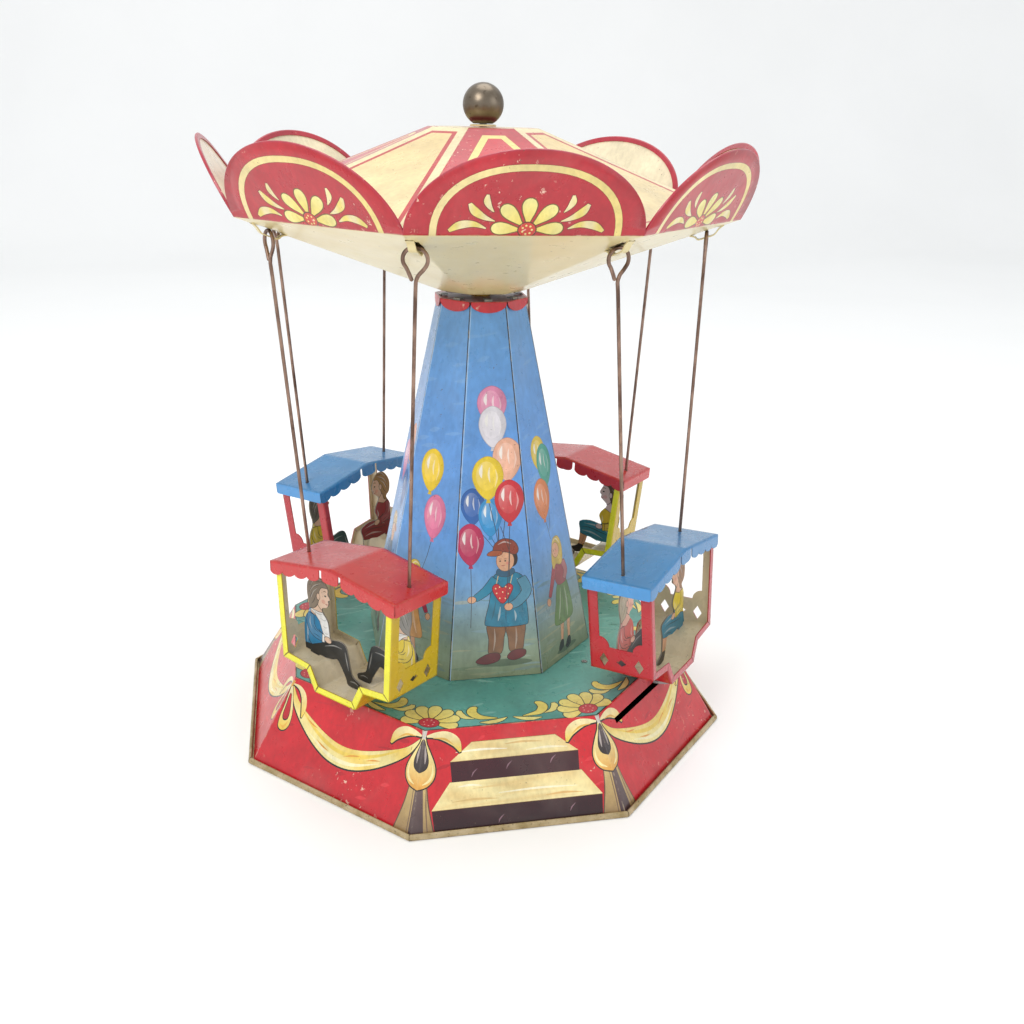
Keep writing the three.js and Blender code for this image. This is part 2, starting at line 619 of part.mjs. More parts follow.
function secondArbor() {
  const end = FRAME_Y + FRAME_PLATE + 0.6;
  const phase = -90 + 180 / SECOND_PINION_TEETH;
  const leaves = pinionAlongY(SECOND_PINION_TEETH, TRAIN_MODULE, phase, 1.8, 4.6, SECOND_AXIS);
  return turnedAlongY(rod(ARBOR_R.second, -end, end), 12, SECOND_AXIS).add(leaves);
}

function secondWheel() {
  const phase = directionDegrees(SECOND_AXIS, THIRD_AXIS);
  const bore = ARBOR_R.second + RUN;
  return wheelAlongY(SECOND_WHEEL_TEETH, TRAIN_MODULE, phase, bore, -11.8, -10.8, SECOND_AXIS);
}

function thirdArbor() {
  const end = FRAME_Y + FRAME_PLATE + 0.6;
  const phase = directionDegrees(THIRD_AXIS, SECOND_AXIS) + 180 / THIRD_PINION_TEETH;
  const leaves = pinionAlongY(THIRD_PINION_TEETH, TRAIN_MODULE, phase, -12.8, -9.8, THIRD_AXIS);
  return turnedAlongY(rod(ARBOR_R.third, -end, end), 12, THIRD_AXIS).add(leaves);
}

function thirdWheel() {
  const phase = directionDegrees(THIRD_AXIS, GOVERNOR_AXIS);
  const bore = ARBOR_R.third + RUN;
  return wheelAlongY(THIRD_WHEEL_TEETH, GOVERNOR_MODULE, phase, bore, -1, 0, THIRD_AXIS);
}

function governorArbor() {
  const phase = directionDegrees(GOVERNOR_AXIS, THIRD_AXIS) + 180 / GOVERNOR_PINION_TEETH;
  const leaves = pinionAlongY(GOVERNOR_PINION_TEETH, GOVERNOR_MODULE, phase, -2, 1, GOVERNOR_AXIS);
  const shaft = rod(ARBOR_R.governor, -22.4, FRAME_Y + FRAME_PLATE + 0.6);
  return turnedAlongY(shaft, 12, GOVERNOR_AXIS).add(leaves);
}

function governorFly() {
  const { x, z } = GOVERNOR_AXIS;
  const vane = box([x - 0.4, -22.8, z - 7], [x + 0.4, -16, z + 7]);
  const hub = turnedAlongY(rod(2.2, -22.8, -15.4), 14, GOVERNOR_AXIS);
  const bore = turnedAlongY(rod(ARBOR_R.governor + RUN, -22.6, -15), 12, GOVERNOR_AXIS);
  return vane.add(hub).subtract(bore);
}

// ---------- stop lever ----------
function leverPivot(z) {
  const outward = radians(LEVER_ANGLE);
  return [LEVER_PIVOT_R * Math.sin(outward), -LEVER_PIVOT_R * Math.cos(outward), z];
}

function stopLever() {
  const w = LEVER_HALF_WIDTH;
  const arm = polygon([[0, -w], [LEVER_OUT - w, -w], ...arc(w, w, -90, 90, 6, LEVER_OUT - w, 0), [0, w]]);
  const boss = polygon(circle(4, 16));
  const finger = polygon([[0, -1.6], [LEVER_IN, -1.2], [LEVER_IN, 1.2], [0, 1.6]]);
  const top = LEVER_Z + LEVER_SHEET;
  const brake = plate(finger, LEVER_Z, top).rotate([0, 0, 180 - LEVER_BEND]);
  const tab = box([LEVER_OUT - 1.2, -w * 0.8, LEVER_Z], [LEVER_OUT - 0.2, w * 0.8, top + 3]);
  const bore = turned(rod(1.5 + RUN, LEVER_Z - 1, top + 1), 12);
  const flat = joined([plate(arm, LEVER_Z, top), plate(boss, LEVER_Z, top), brake, tab]).subtract(bore);
  return shifted(spun(flat, LEVER_ANGLE - 90 + LEVER_REST), ...leverPivot(0));
}

function leverRivet() {
  const stem = 1.5 - 0.03;
  const under = LEVER_Z - GAP;
  const profile = [
    [0, under - 1], [2.6, under - 1], [2.6, under], [stem, under], [stem, LEVER_Z + LEVER_SHEET + GAP],
    [2.2, LEVER_Z + LEVER_SHEET + GAP], [2.2, DECK_Z - SHEET - GAP], [stem - 0.1, DECK_Z - SHEET - GAP],
    [stem - 0.1, DECK_Z + 0.2], [0, DECK_Z + 0.2],
  ];
  return shifted(turned(profile, ROUND), ...leverPivot(0));
}

// ---------- gondolas: drawn with x along the gondola, -Y away from the toy's axis ----------
function eaveLine(x) {
  return CABIN_RIDGE_Z - (CABIN_RIDGE_Z - CABIN_EAVE_Z) * Math.abs(x) / CABIN_ROOF_X;
}

// One long side of the roof's hanging edge: four lobes, a slit, a middle tab, a slit and four lobes.
function valanceOutline() {
  const tab = { half: 4.75, drop: 6.6 };
  const slit = { width: 1.5, top: 1.2 };
  const lobes = 4;
  const start = tab.half + slit.width;
  const lobeWidth = (CABIN_ROOF_X - start) / lobes;
  const half = [[0, -tab.drop], ...arc(tab.half, 2.2, -68, 0, 3, 0, -tab.drop + 2.2)];
  half.push([tab.half, -slit.top], [start, -slit.top]);
  for (let i = 0; i < lobes; i += 1) {
    const middle = start + lobeWidth * (i + 0.5);
    half.push(...arc(lobeWidth / 2, 2, 180, 360, 3, middle, -4.2));
  }
  const right = half.map(([x, dz]) => [Math.min(x, CABIN_ROOF_X), eaveLine(x) + dz]);
  const left = right.slice(1).map(([x, z]) => [-x, z]).reverse();
  const eaves = [[CABIN_ROOF_X, CABIN_EAVE_Z], [0, CABIN_RIDGE_Z], [-CABIN_ROOF_X, CABIN_EAVE_Z]];
  return [...left, ...right, ...eaves];
}

function gondolaRoof() {
  const outer = [
    [-CABIN_ROOF_X, CABIN_EAVE_Z - FASCIA], [-CABIN_ROOF_X, CABIN_EAVE_Z], [0, CABIN_RIDGE_Z],
    [CABIN_ROOF_X, CABIN_EAVE_Z], [CABIN_ROOF_X, CABIN_EAVE_Z - FASCIA],
  ];
  const strip = polygon([...outer, ...offsetPath(outer, -SHEET).reverse()]);
  let roof = plateXZ(strip, -CABIN_ROOF_Y, CABIN_ROOF_Y);
  const valance = polygon(valanceOutline());
  roof = roof.add(plateXZ(valance, -CABIN_ROOF_Y, -CABIN_ROOF_Y + SHEET));
  roof = roof.add(plateXZ(valance, CABIN_ROOF_Y - SHEET, CABIN_ROOF_Y));
  for (const side of [-1, 1]) {
    const hole = turned(rod(WIRE_HOLE_R, CABIN_EAVE_Z - CUT, CABIN_RIDGE_Z + CUT), 10);
    roof = roof.subtract(shifted(hole, side * WIRE_FOOT_X, 0, 0));
  }
  return roof;
}

// The body is one bent strip: end wall, seat, foot well, seat, end wall, with its edges turned in.
const CABIN_PATH = [
  [-33.5, 99.6], [-31.2, 56.2], [-16.6, 54.7], [-12, 45.5],
  [12, 45.5], [16.6, 54.7], [31.2, 56.2], [33.5, 99.6],
];

// Window in an end wall, drawn in Y and Z: round upper corners, and a bulging bracket in each lower one.
function windowOutline() {
  const half = 10.3;
  const bracket = 4.6;
  const round = 5;
  const top = 97.2;
  const sill = 67.7;
  return [
    ...arc(bracket, bracket, 90, 0, 3, -half, sill), ...arc(bracket, bracket, 180, 90, 3, half, sill),
    ...arc(round, round, 0, 90, 3, half - round, top - round),
    ...arc(round, round, 90, 180, 3, round - half, top - round),
  ];
}

function diamond(y, halfY, halfZ) {
  const z = 61.2;
  return [[y - halfY, z], [y, z - halfZ], [y + halfY, z], [y, z + halfZ]];
}

function gondolaBody(riderY) {
  const strip = polygon([...CABIN_PATH, ...offsetPath(CABIN_PATH, SHEET).reverse()]);
  const edging = polygon([...CABIN_PATH, ...offsetPath(CABIN_PATH, FLANGE).reverse()]);
  let body = plateXZ(strip, -CABIN_Y, CABIN_Y);
  body = body.add(plateXZ(edging, -CABIN_Y, -CABIN_Y + SHEET));
  body = body.add(plateXZ(edging, CABIN_Y - SHEET, CABIN_Y));
  const openings = [windowOutline(), diamond(-8.4, 2.2, 3.4), diamond(0, 2.5, 1.7), diamond(8.4, 2.2, 3.4)];
  for (const opening of openings) {
    body = body.subtract(plateYZ(polygon(opening), -CABIN_ROOF_X, -CABIN_ROOF_X / 2));
    body = body.subtract(plateYZ(polygon(opening), CABIN_ROOF_X / 2, CABIN_ROOF_X));
  }
  const half = SHEET / 2 + GAP;
  const slot = box([RIDER_TAB.left - GAP, riderY - half, RIDER_TAB.foot - 1],
    [RIDER_TAB.right + GAP, riderY + half, RIDER_TAB.top]);
  return body.subtract(slot).subtract(spun(slot, 180));
}

// A wire: an eye round the strap, a straight run through the roof and a bent foot under it. "side" is
// -1 for the left hook and 1 for the right one; the lower end follows the way the gondola hangs.
function wire(side, hang) {
  const eye = new THREE.CatmullRomCurve3([
    [0, -7.6], [0.75, -5.9], ...arc(LOOP_R, LOOP_R, -52, 232, 9), [-1.5, -5],
  ].map(([a, b]) => {
    const along = a * Math.cos(Math.PI / SIDES);
    const inward = side * a * Math.sin(Math.PI / SIDES);
    return new THREE.Vector3(side * HANG_X + along, inward, HOOK_Z - LOOP_R + b);
  }), false, 'centripetal');
  const section = polygon(circle(WIRE_R, 5));
  const sweep = { steps: 13, extrudePath: eye, bevelEnabled: false };
  const loop = toSolid(new THREE.ExtrudeGeometry(section, sweep));
  const head = new THREE.Vector3(side * HANG_X, 0, HOOK_Z - LOOP_R - 7);
  const hole = new THREE.Vector3(side * WIRE_FOOT_X, 0, eaveLine(WIRE_FOOT_X)).applyMatrix4(hang);
  const run = hole.clone().sub(head).normalize();
  const knee = hole.clone().addScaledVector(run, WIRE_BELOW_ROOF + SHEET / 2);
  const inward = new THREE.Vector3(-side, 0, 0).transformDirection(hang);
  const toe = knee.clone().addScaledVector(inward, 4.5);
  return joined([loop, straightWire(head, knee), straightWire(knee, toe)]);
}

// The turn that lays the upright direction along a vector.
function uprightTo(direction) {
  const turn = new THREE.Quaternion();
  turn.setFromUnitVectors(new THREE.Vector3(0, 0, 1), direction.clone().normalize());
  return new THREE.Matrix4().makeRotationFromQuaternion(turn);
}

function straightWire(from, to) {
  const along = to.clone().sub(from);
  const matrix = uprightTo(along);
  return moved(turned(rod(WIRE_R, -0.4, along.length() + 0.4), 5), matrix, from.toArray());
}

// A seated rider: one flat tin figure with a tab that stands in the slot in the seat.
function rider(outline, y) {
  const front = y - SHEET / 2;
  const back = y + SHEET / 2;
  const tab = box([RIDER_TAB.left, front, RIDER_TAB.foot], [RIDER_TAB.right, back, RIDER_TAB.top]);
  return plateXZ(polygon(outline), front, back).add(tab);
}

// The matrix that takes a gondola drawn square under its hooks to the way it hangs.
function hangMatrix({ shift, tilt, roll, yaw }) {
  const turn = new THREE.Euler(radians(tilt), radians(roll), radians(yaw), 'ZYX');
  return new THREE.Matrix4().makeTranslation(shift[0], shift[1], shift[2] + HANG_PIVOT_Z)
    .multiply(new THREE.Matrix4().makeRotationFromEuler(turn))
    .multiply(new THREE.Matrix4().makeTranslation(0, 0, -HANG_PIVOT_Z));
}

// "seated" holds the outlines of the left and the right rider.
function gondola(number, degrees, roofPaint, bodyPaint, seated) {
  const group = new THREE.Group();
  const prefix = `gondola_${number}`;
  const hang = hangMatrix(HANG[number - 1]);
  const riderY = RIDER_Y[number - 1];
  const hung = (solid) => solid.transform(hang.elements);
  group.add(named(`${prefix}_body`, hung(gondolaBody(riderY)), bodyPaint));
  group.add(named(`${prefix}_roof`, hung(gondolaRoof()), roofPaint));
  group.add(named(`${prefix}_wire_left`, wire(-1, hang), METAL.bronze));
  group.add(named(`${prefix}_wire_right`, wire(1, hang), METAL.bronze));
  group.add(named(`${prefix}_rider_left`, hung(rider(seated[0], riderY)), PAINT.riderA));
  group.add(named(`${prefix}_rider_right`, hung(spun(rider(seated[1], riderY), 180)), PAINT.riderB));
  group.position.set(HANG_R * Math.sin(radians(degrees)), -HANG_R * Math.cos(radians(degrees)), 0);
  group.rotation.z = radians(degrees);
  return group;
}

// ---------- the toy ----------
function movement() {
  const group = new THREE.Group();
  group.add(named('front_plate', movementPlate(-1), METAL.brass));
  group.add(named('rear_plate', movementPlate(1), METAL.brass));
  PILLARS.forEach((axis, i) => group.add(named(`plate_pillar_${i + 1}`, pillar(axis), METAL.steel)));
  group.add(named('shaft_bracket', shaftBracket(), METAL.steel));
  group.add(named('mainspring', mainspring(), METAL.steel));
  group.add(named('great_wheel', greatWheel(), METAL.brass));
  group.add(named('click', click(), METAL.steel));
  group.add(named('ratchet_wheel', ratchetWheel(), METAL.steel));
  group.add(named('winding_arbor', windingArbor(), METAL.steel));
  group.add(named('winding_key', windingKey(), METAL.steel));
  group.add(named('second_arbor', secondArbor(), METAL.steel));
  group.add(named('second_wheel', secondWheel(), METAL.brass));
  group.add(named('crown_wheel', crownWheel(), METAL.brass));
  group.add(named('third_arbor', thirdArbor(), METAL.steel));
  group.add(named('third_wheel', thirdWheel(), METAL.brass));
  group.add(named('governor_arbor', governorArbor(), METAL.steel));
  group.add(named('governor_fly', governorFly(), METAL.brass));
  return group;
}

function stand() {
  const group = new THREE.Group();
  group.add(named('base_plate', basePlate(), METAL.brass));
  group.add(named('base_cover', baseCover(), PAINT.red));
  group.add(named('tower_shell', towerShell(), PAINT.sky));
  group.add(named('tower_collar', towerCollar(), PAINT.red));
  group.add(named('top_bearing', topBearing(), METAL.brass));
  group.add(named('stop_lever', stopLever(), METAL.steel));
  group.add(named('lever_rivet', leverRivet(), METAL.steel));
  return group;
}

function canopy() {
  const group = new THREE.Group();
  const pinion = named('shaft_pinion', shaftPinion(), METAL.steel);
  pinion.rotation.z = radians(-CANOPY_REST_TURN); // the pinion's teeth stay in mesh at rest
  group.add(pinion);
  group.add(named('canopy_pan', canopyPan(), PAINT.cream));
  group.add(named('roof_panel', roofPanel(), PAINT.yellow));
  group.add(named('drive_hub', driveHub(), METAL.steel));
  group.add(named('main_shaft', mainShaft(), METAL.steel));
  group.add(named('top_washer', topWasher(), METAL.brass));
  group.add(named('finial_ball', finialBall(), METAL.bronze));
  const seated = [
    [TROUSERS_RIDER, TROUSERS_RIDER], [TROUSERS_RIDER, SKIRT_RIDER],
    [SKIRT_RIDER, TROUSERS_RIDER], [SKIRT_RIDER, TROUSERS_RIDER],
  ];
  GONDOLA_ANGLES.forEach((degrees, i) => {
    const [roofPaint, bodyPaint] = i % 2 === 0 ? [PAINT.red, PAINT.yellow] : [PAINT.blue, PAINT.red];
    group.add(gondola(i + 1, degrees, roofPaint, bodyPaint, seated[i]));
  });
  group.rotation.z = radians(CANOPY_REST_TURN);
  return group;
}

const carousel = new THREE.Group();
carousel.add(stand(), movement(), canopy());

export default carousel;
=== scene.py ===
"""Looks of the wind-up tin carousel: printed tin panels, wires, riders, clockwork and a plain studio.

Shapes are worked out in millimetres and become metres when a mesh is made. +Z is up, and -Y is the side
with the steps. A sheet of tin is a set of flat panels. The printed shapes of a panel are cut into its
surface, and every corner keeps a paint colour, with the wear of folds and edges in its alpha.
"""

import json
import math
import random

import bpy
import numpy as np
from mathutils import Matrix, Vector, geometry

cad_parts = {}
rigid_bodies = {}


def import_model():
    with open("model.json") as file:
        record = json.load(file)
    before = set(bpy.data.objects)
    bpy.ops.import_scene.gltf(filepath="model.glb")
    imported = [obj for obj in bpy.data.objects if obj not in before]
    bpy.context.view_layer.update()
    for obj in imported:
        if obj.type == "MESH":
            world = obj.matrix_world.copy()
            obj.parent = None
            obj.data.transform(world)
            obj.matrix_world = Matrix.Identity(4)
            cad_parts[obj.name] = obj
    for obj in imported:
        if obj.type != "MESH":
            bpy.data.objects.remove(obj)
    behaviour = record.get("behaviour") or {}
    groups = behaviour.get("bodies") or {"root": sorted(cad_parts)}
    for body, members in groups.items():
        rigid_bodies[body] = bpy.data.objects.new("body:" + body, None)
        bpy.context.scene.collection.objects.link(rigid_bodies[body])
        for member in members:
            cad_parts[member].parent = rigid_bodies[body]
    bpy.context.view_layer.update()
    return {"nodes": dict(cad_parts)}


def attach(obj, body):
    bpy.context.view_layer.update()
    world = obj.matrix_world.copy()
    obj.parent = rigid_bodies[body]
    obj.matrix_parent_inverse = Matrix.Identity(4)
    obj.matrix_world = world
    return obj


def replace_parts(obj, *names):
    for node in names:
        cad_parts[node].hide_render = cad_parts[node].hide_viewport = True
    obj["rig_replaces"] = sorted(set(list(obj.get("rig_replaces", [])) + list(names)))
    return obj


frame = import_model()

# ---------- dimensions, mm: the same as the CAD model ----------
MM = 0.001
SIDES = 8
PER_APOTHEM = math.cos(math.pi / SIDES)  # an octagon's apothem for a corner radius of 1
PER_HALF_SIDE = math.sin(math.pi / SIDES)
TIN, CABIN_TIN = 0.45, 0.5  # visible thickness of the sheet, and of the gondolas' sheet
RIM_R = 122.3  # corner radius of the crimped rim
SKIRT_FOOT = (119.8, 1.1)
DECK = (97.4, 37.1)
DECK_OPENING = 51
KEY_Z, KEY_HOLE_R = 23, 4
LEVER_SLOT = [(-27, 32.5), (21, 32.5), (21, 35.1), (-27, 35.1)]  # along and up its side of the skirt
LEVER_R, LEVER_HOLE_R = 62, 1.5  # the stop lever's rivet, at 45 degrees from the steps
TOWER_FOOT = (56.25, 37.4)
TOWER_HEAD = (20.2, 201.5)
TAB_HALF_WIDTH, TAB_THICK, TAB_TOP = 1.7, 0.35, 203.3  # tower tabs, bent over the collar
COLLAR = (21.3, 202.5)
COLLAR_LOBE = 4.5
CANOPY_TURN = -1.15
PAN = (19.8, 205.5)
FOLD = (109.8, 239.3)
SCALLOP_TIP = (117.1 / PER_APOTHEM, 267.5)
ROOF = (107.2, 240.6)
ROOF_TOP = (24.1, 272.4)
BALL_R, BALL_Z = 8.6, 281.4
HOOK_R, HOOK_Z = 96.5, 233.9
WIRE_R = 0.75
STRAP = [(89.6, 0.1), (91.5, 1.0), (93.3, 2.75), (96.5, 2.85), (99.7, 2.75), (101.5, 1.0), (103.4, 0.1)]
STRAP_HALF_WIDTH, STRAP_THICK = 1.5, 0.5  # STRAP is its distances from the axis and depths under the pan
PAN_NOTCH = [(92.2, 0), (92.2, 2.4), (100.8, 2.4), (100.8, 0)]  # half the hole over a strap: along, across
HEM_STEPS = 56
LOOP_R = 4.2
HANG_R, HANG_X = HOOK_R * PER_APOTHEM, HOOK_R * PER_HALF_SIDE
WIRE_FOOT_X = 28.9
GONDOLA_ANGLES = (-45, 45, 135, -135)
CABIN_ROOF_X, CABIN_ROOF_Y = 35.85, 16
CABIN_RIDGE_Z, CABIN_EAVE_Z = 106, 100.5
FASCIA = 5.4
CABIN_Y = 15
FLANGE = 3
CABIN_PATH = [(-33.5, 99.6), (-31.2, 56.2), (-16.6, 54.7), (-12, 45.5),
              (12, 45.5), (16.6, 54.7), (31.2, 56.2), (33.5, 99.6)]
HANG_PIVOT_Z = 100  # the turns of HANG are about this point of a gondola's middle line
HANG = {  # how each gondola has settled: a shift in its own place, then degrees about X, Y and Z
    1: ((1.2, 2.7, -1.6), -1.6, -0.5, -1.7),
    2: ((7.2, -1.3, -2.6), -4.2, -0.5, 2.3),
    3: ((-0.9, -0.8, 0.7), 2.4, -1.4, 3),
    4: ((-5.4, -2.1, -0.7), 3.1, 2.1, -0.7),
}
RIDER_Y = {1: -3.5, 2: 3, 3: -3.5, 4: 3}  # a left rider's distance from each gondola's middle
RIDER_THICK = 0.7
RIDER_TAB = (-26, -21, 54.2)  # left, right and foot of the tab that stands in the seat's slot
UP = Vector((0, 0, 1))


# ---------- colours ----------
def rgb(code):
    """A display colour such as "c8373c" as linear RGB."""
    channels = [int(code[i:i + 2], 16) / 255 for i in (0, 2, 4)]
    return tuple(((c + 0.055) / 1.055) ** 2.4 if c > 0.04045 else c / 12.92 for c in channels)


def mixed(a, b, share):
    share = min(max(share, 0), 1)
    return tuple(x + (y - x) * share for x, y in zip(a, b))


RED, DEEP_RED = rgb("d0202b"), rgb("b01c28")
SCALLOP_RED, HEM_RED = rgb("c62a36"), rgb("b32a3c")
PALE = rgb("f3e4ae")
ENAMEL = rgb("e6dcb4")
GOLD, AMBER = rgb("ecc94e"), rgb("e2a03c")
INK, BROWN = rgb("23201d"), rgb("6d4a30")
TEAL, DEEP_TEAL = rgb("70b5ac"), rgb("559a90")
WHITE = rgb("f6f4ee")
TAN = rgb("e4d5b4")
SKIN = rgb("dfa883")
CABIN_YELLOW, FLANGE_YELLOW = rgb("ceac0c"), rgb("efe92c")
CABIN_RED, FLANGE_RED = rgb("bc1729"), rgb("bd3440")
ROOF_RED, ROOF_BLUE = rgb("cf2c2c"), rgb("3788c4")


# ---------- flat shapes ----------
def oval(cx, cy, rx, ry, turn=0.0, steps=26):
    c, s = math.cos(math.radians(turn)), math.sin(math.radians(turn))
    loop = []
    for i in range(steps):
        a = 2 * math.pi * i / steps
        u, v = rx * math.cos(a), ry * math.sin(a)
        loop.append((cx + u * c - v * s, cy + u * s + v * c))
    return loop


def octagon(radius, start=22.5):
    return [(radius * math.cos(math.radians(start + 45 * k)), radius * math.sin(math.radians(start + 45 * k)))
            for k in range(SIDES)]


def through(points, closed=True, steps=5):
    """A Catmull-Rom curve through the points."""
    count = len(points)
    spans = count if closed else count - 1
    curve = []
    for i in range(spans):
        if closed:
            p = [points[(i + k) % count] for k in (-1, 0, 1, 2)]
        else:
            p = [points[min(max(i + k, 0), count - 1)] for k in (-1, 0, 1, 2)]
        for j in range(steps):
            t = j / steps
            curve.append(tuple(
                0.5 * (2 * b + (c - a) * t + (2 * a - 5 * b + 4 * c - d) * t * t
                       + (3 * b - a - 3 * c + d) * t ** 3)
                for a, b, c, d in zip(*p)))
    if not closed:
        curve.append(tuple(points[-1]))
    return curve


def side_normals(line, closed):
    """Unit vectors to the left of a flat line at each of its points."""
    count = len(line)
    found = []
    for i in range(count):
        before = line[i - 1] if closed or i else line[0]
        after = line[(i + 1) % count] if closed or i < count - 1 else line[-1]
        dx, dy = after[0] - before[0], after[1] - before[1]
        length = math.hypot(dx, dy) or 1
        found.append((-dy / length, dx / length))
    return found


def ribbon(points, widths, steps=5, curved=True):
    """The outline of a brush stroke of changing width along a curve."""
    line = [(x, y, w) for (x, y), w in zip(points, widths)]
    if curved:
        line = through(line, closed=False, steps=steps)
    left, right = [], []
    for (x, y, w), (nx, ny) in zip(line, side_normals(line, False)):
        half = max(w, 0.12) / 2
        left.append((x + nx * half, y + ny * half))
        right.append((x - nx * half, y - ny * half))
    return left + right[::-1]


def leaf_shape(x0, y0, x1, y1, width):
    """A leaf with its point at (x0, y0) and its round end at (x1, y1)."""
    dx, dy = x1 - x0, y1 - y0
    at = [(x0 + dx * f, y0 + dy * f) for f in (0, 0.25, 0.5, 0.75, 0.93, 1)]
    return ribbon(at, [w * width for w in (0.05, 0.45, 0.85, 1, 0.7, 0.2)], 4)


def area(loop):
    return sum(a[0] * b[1] - b[0] * a[1] for a, b in zip(loop, loop[1:] + loop[:1])) / 2


def grown(loop, by):
    """The loop with each point moved out by a distance."""
    sign = -1 if area(loop) > 0 else 1
    return [(x + nx * by * sign, y + ny * by * sign)
            for (x, y), (nx, ny) in zip(loop, side_normals(loop, True))]


def shifted(loop, dx, dy):
    return [(x + dx, y + dy) for x, y in loop]


def inside(loop, at):
    """For each point, whether it is inside the loop."""
    x, y = at[:, 0], at[:, 1]
    result = np.zeros(len(at), bool)
    for (x0, y0), (x1, y1) in zip(loop, loop[1:] + loop[:1]):
        if y0 != y1:
            result ^= ((y0 > y) != (y1 > y)) & (x < (x1 - x0) * (y - y0) / (y1 - y0) + x0)
    return result


class Print:
    """What is printed on a panel: a ground colour, then shapes with later ones on top. A colour is RGB or
    a function of the place. A guide is a line that only gives such a function more places."""

    def __init__(self, ground):
        self.ground, self.shapes, self.guides = ground, [], []

    def add(self, loop, colour):
        self.shapes.append((loop, colour))

    def lined(self, loop, colour, line, width):
        self.add(grown(loop, width), line)
        self.add(loop, colour)

    def stroke(self, points, widths, colour):
        self.add(ribbon(points, widths), colour)

    def line(self, points, width, colour):
        self.add(ribbon(points, [width] * len(points), curved=False), colour)

    def dash(self, x, y, length, rises, width, colour, tip=0.2):
        """A short stroke through three places, each with its own rise above y."""
        points = [(x + length / 2 * k, y + rise) for k, rise in zip((-1, 0, 1), rises)]
        self.stroke(points, [tip, width, tip], colour)

    def seeds(self, x, y, ring, size, colour):
        """Seven dots in a ring."""
        for k in range(7):
            a = math.radians(360 * k / 7)
            self.add(oval(x + ring * math.cos(a), y + ring * math.sin(a), size, size, steps=6), colour)


# ---------- sheets ----------
class Panel:
    """A flat place: t along it, s up it, and its normal out of the sheet."""

    def __init__(self, origin, along, up):
        self.origin = Vector(origin)
        self.along, self.up = Vector(along).normalized(), Vector(up).normalized()
        self.normal = self.along.cross(self.up)

    def at(self, t, s):
        return self.origin + t * self.along + s * self.up

    def flat(self, point):
        away = Vector(point) - self.origin
        return away.dot(self.along), away.dot(self.up)


def directions(degrees):
    """The directions along a side of the octagon and away from it."""
    a = math.radians(degrees)
    return Vector((math.cos(a), math.sin(a), 0)), Vector((math.sin(a), -math.cos(a), 0))


class Side(Panel):
    """One sloping side between two octagons, each a corner radius and a height."""

    def __init__(self, degrees, low, high):
        along, outward = directions(degrees)
        foot = outward * low[0] * PER_APOTHEM + UP * low[1]
        head = outward * high[0] * PER_APOTHEM + UP * high[1]
        super().__init__(foot, along, head - foot)
        self.length = (head - foot).length
        self.low, self.high = low[0] * PER_HALF_SIDE, high[0] * PER_HALF_SIDE

    def outline(self):
        return [(-self.low, 0), (self.low, 0), (self.high, self.length), (-self.high, self.length)]

    def half(self, s):
        return self.low + (self.high - self.low) * s / self.length


class Sheet:
    """Faces with a colour and a normal at each corner, gathered into one mesh."""

    def __init__(self):
        self.points, self.known = [], {}
        self.faces, self.colours, self.normals = [], [], []

    def point(self, place):
        key = tuple(round(c, 3) for c in place)
        if key not in self.known:
            self.known[key] = len(self.points)
            self.points.append(key)
        return self.known[key]

    def face(self, places, colours, normals):
        corners, seen = [], set()
        for place, colour, normal in zip(places, colours, normals):
            i = self.point(place)
            if i not in seen:
                seen.add(i)
                corners.append((i, colour, normal))
        if len(corners) < 3:
            return
        at = [Vector(self.points[c[0]]) for c in corners]
        across = geometry.normal(at)
        if across.length < 0.5:
            return
        if across.dot(sum((c[2] for c in corners), Vector())) < 0:
            corners.reverse()
        self.faces.append([c[0] for c in corners])
        self.colours += [(*c[1][:3], c[1][3] if len(c[1]) > 3 else 0) for c in corners]
        self.normals += [c[2].normalized() for c in corners]

    def place(self, name, material, body, node=None, slot=None):
        """Makes the mesh object, on a body and in place of a CAD node."""
        mesh = bpy.data.meshes.new(name)
        mesh.from_pydata([[c * MM for c in p] for p in self.points], [], self.faces)
        paint = mesh.attributes.new("paint", "FLOAT_COLOR", "CORNER")
        paint.data.foreach_set("color", np.array(self.colours, np.float32).ravel())
        mesh.polygons.foreach_set("use_smooth", [True] * len(self.faces))
        mesh.normals_split_custom_set([tuple(n) for n in self.normals])
        piece = bpy.data.objects.new(name, mesh)
        bpy.context.scene.collection.objects.link(piece)
        mesh.materials.append(material)
        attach(piece, body)
        if node:
            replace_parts(piece, node)


def off_line(point, start, end):
    """The distance of a point from the straight line through two others."""
    dx, dy = end[0] - start[0], end[1] - start[1]
    return abs((point[0] - start[0]) * dy - (point[1] - start[1]) * dx) / math.hypot(dx, dy)


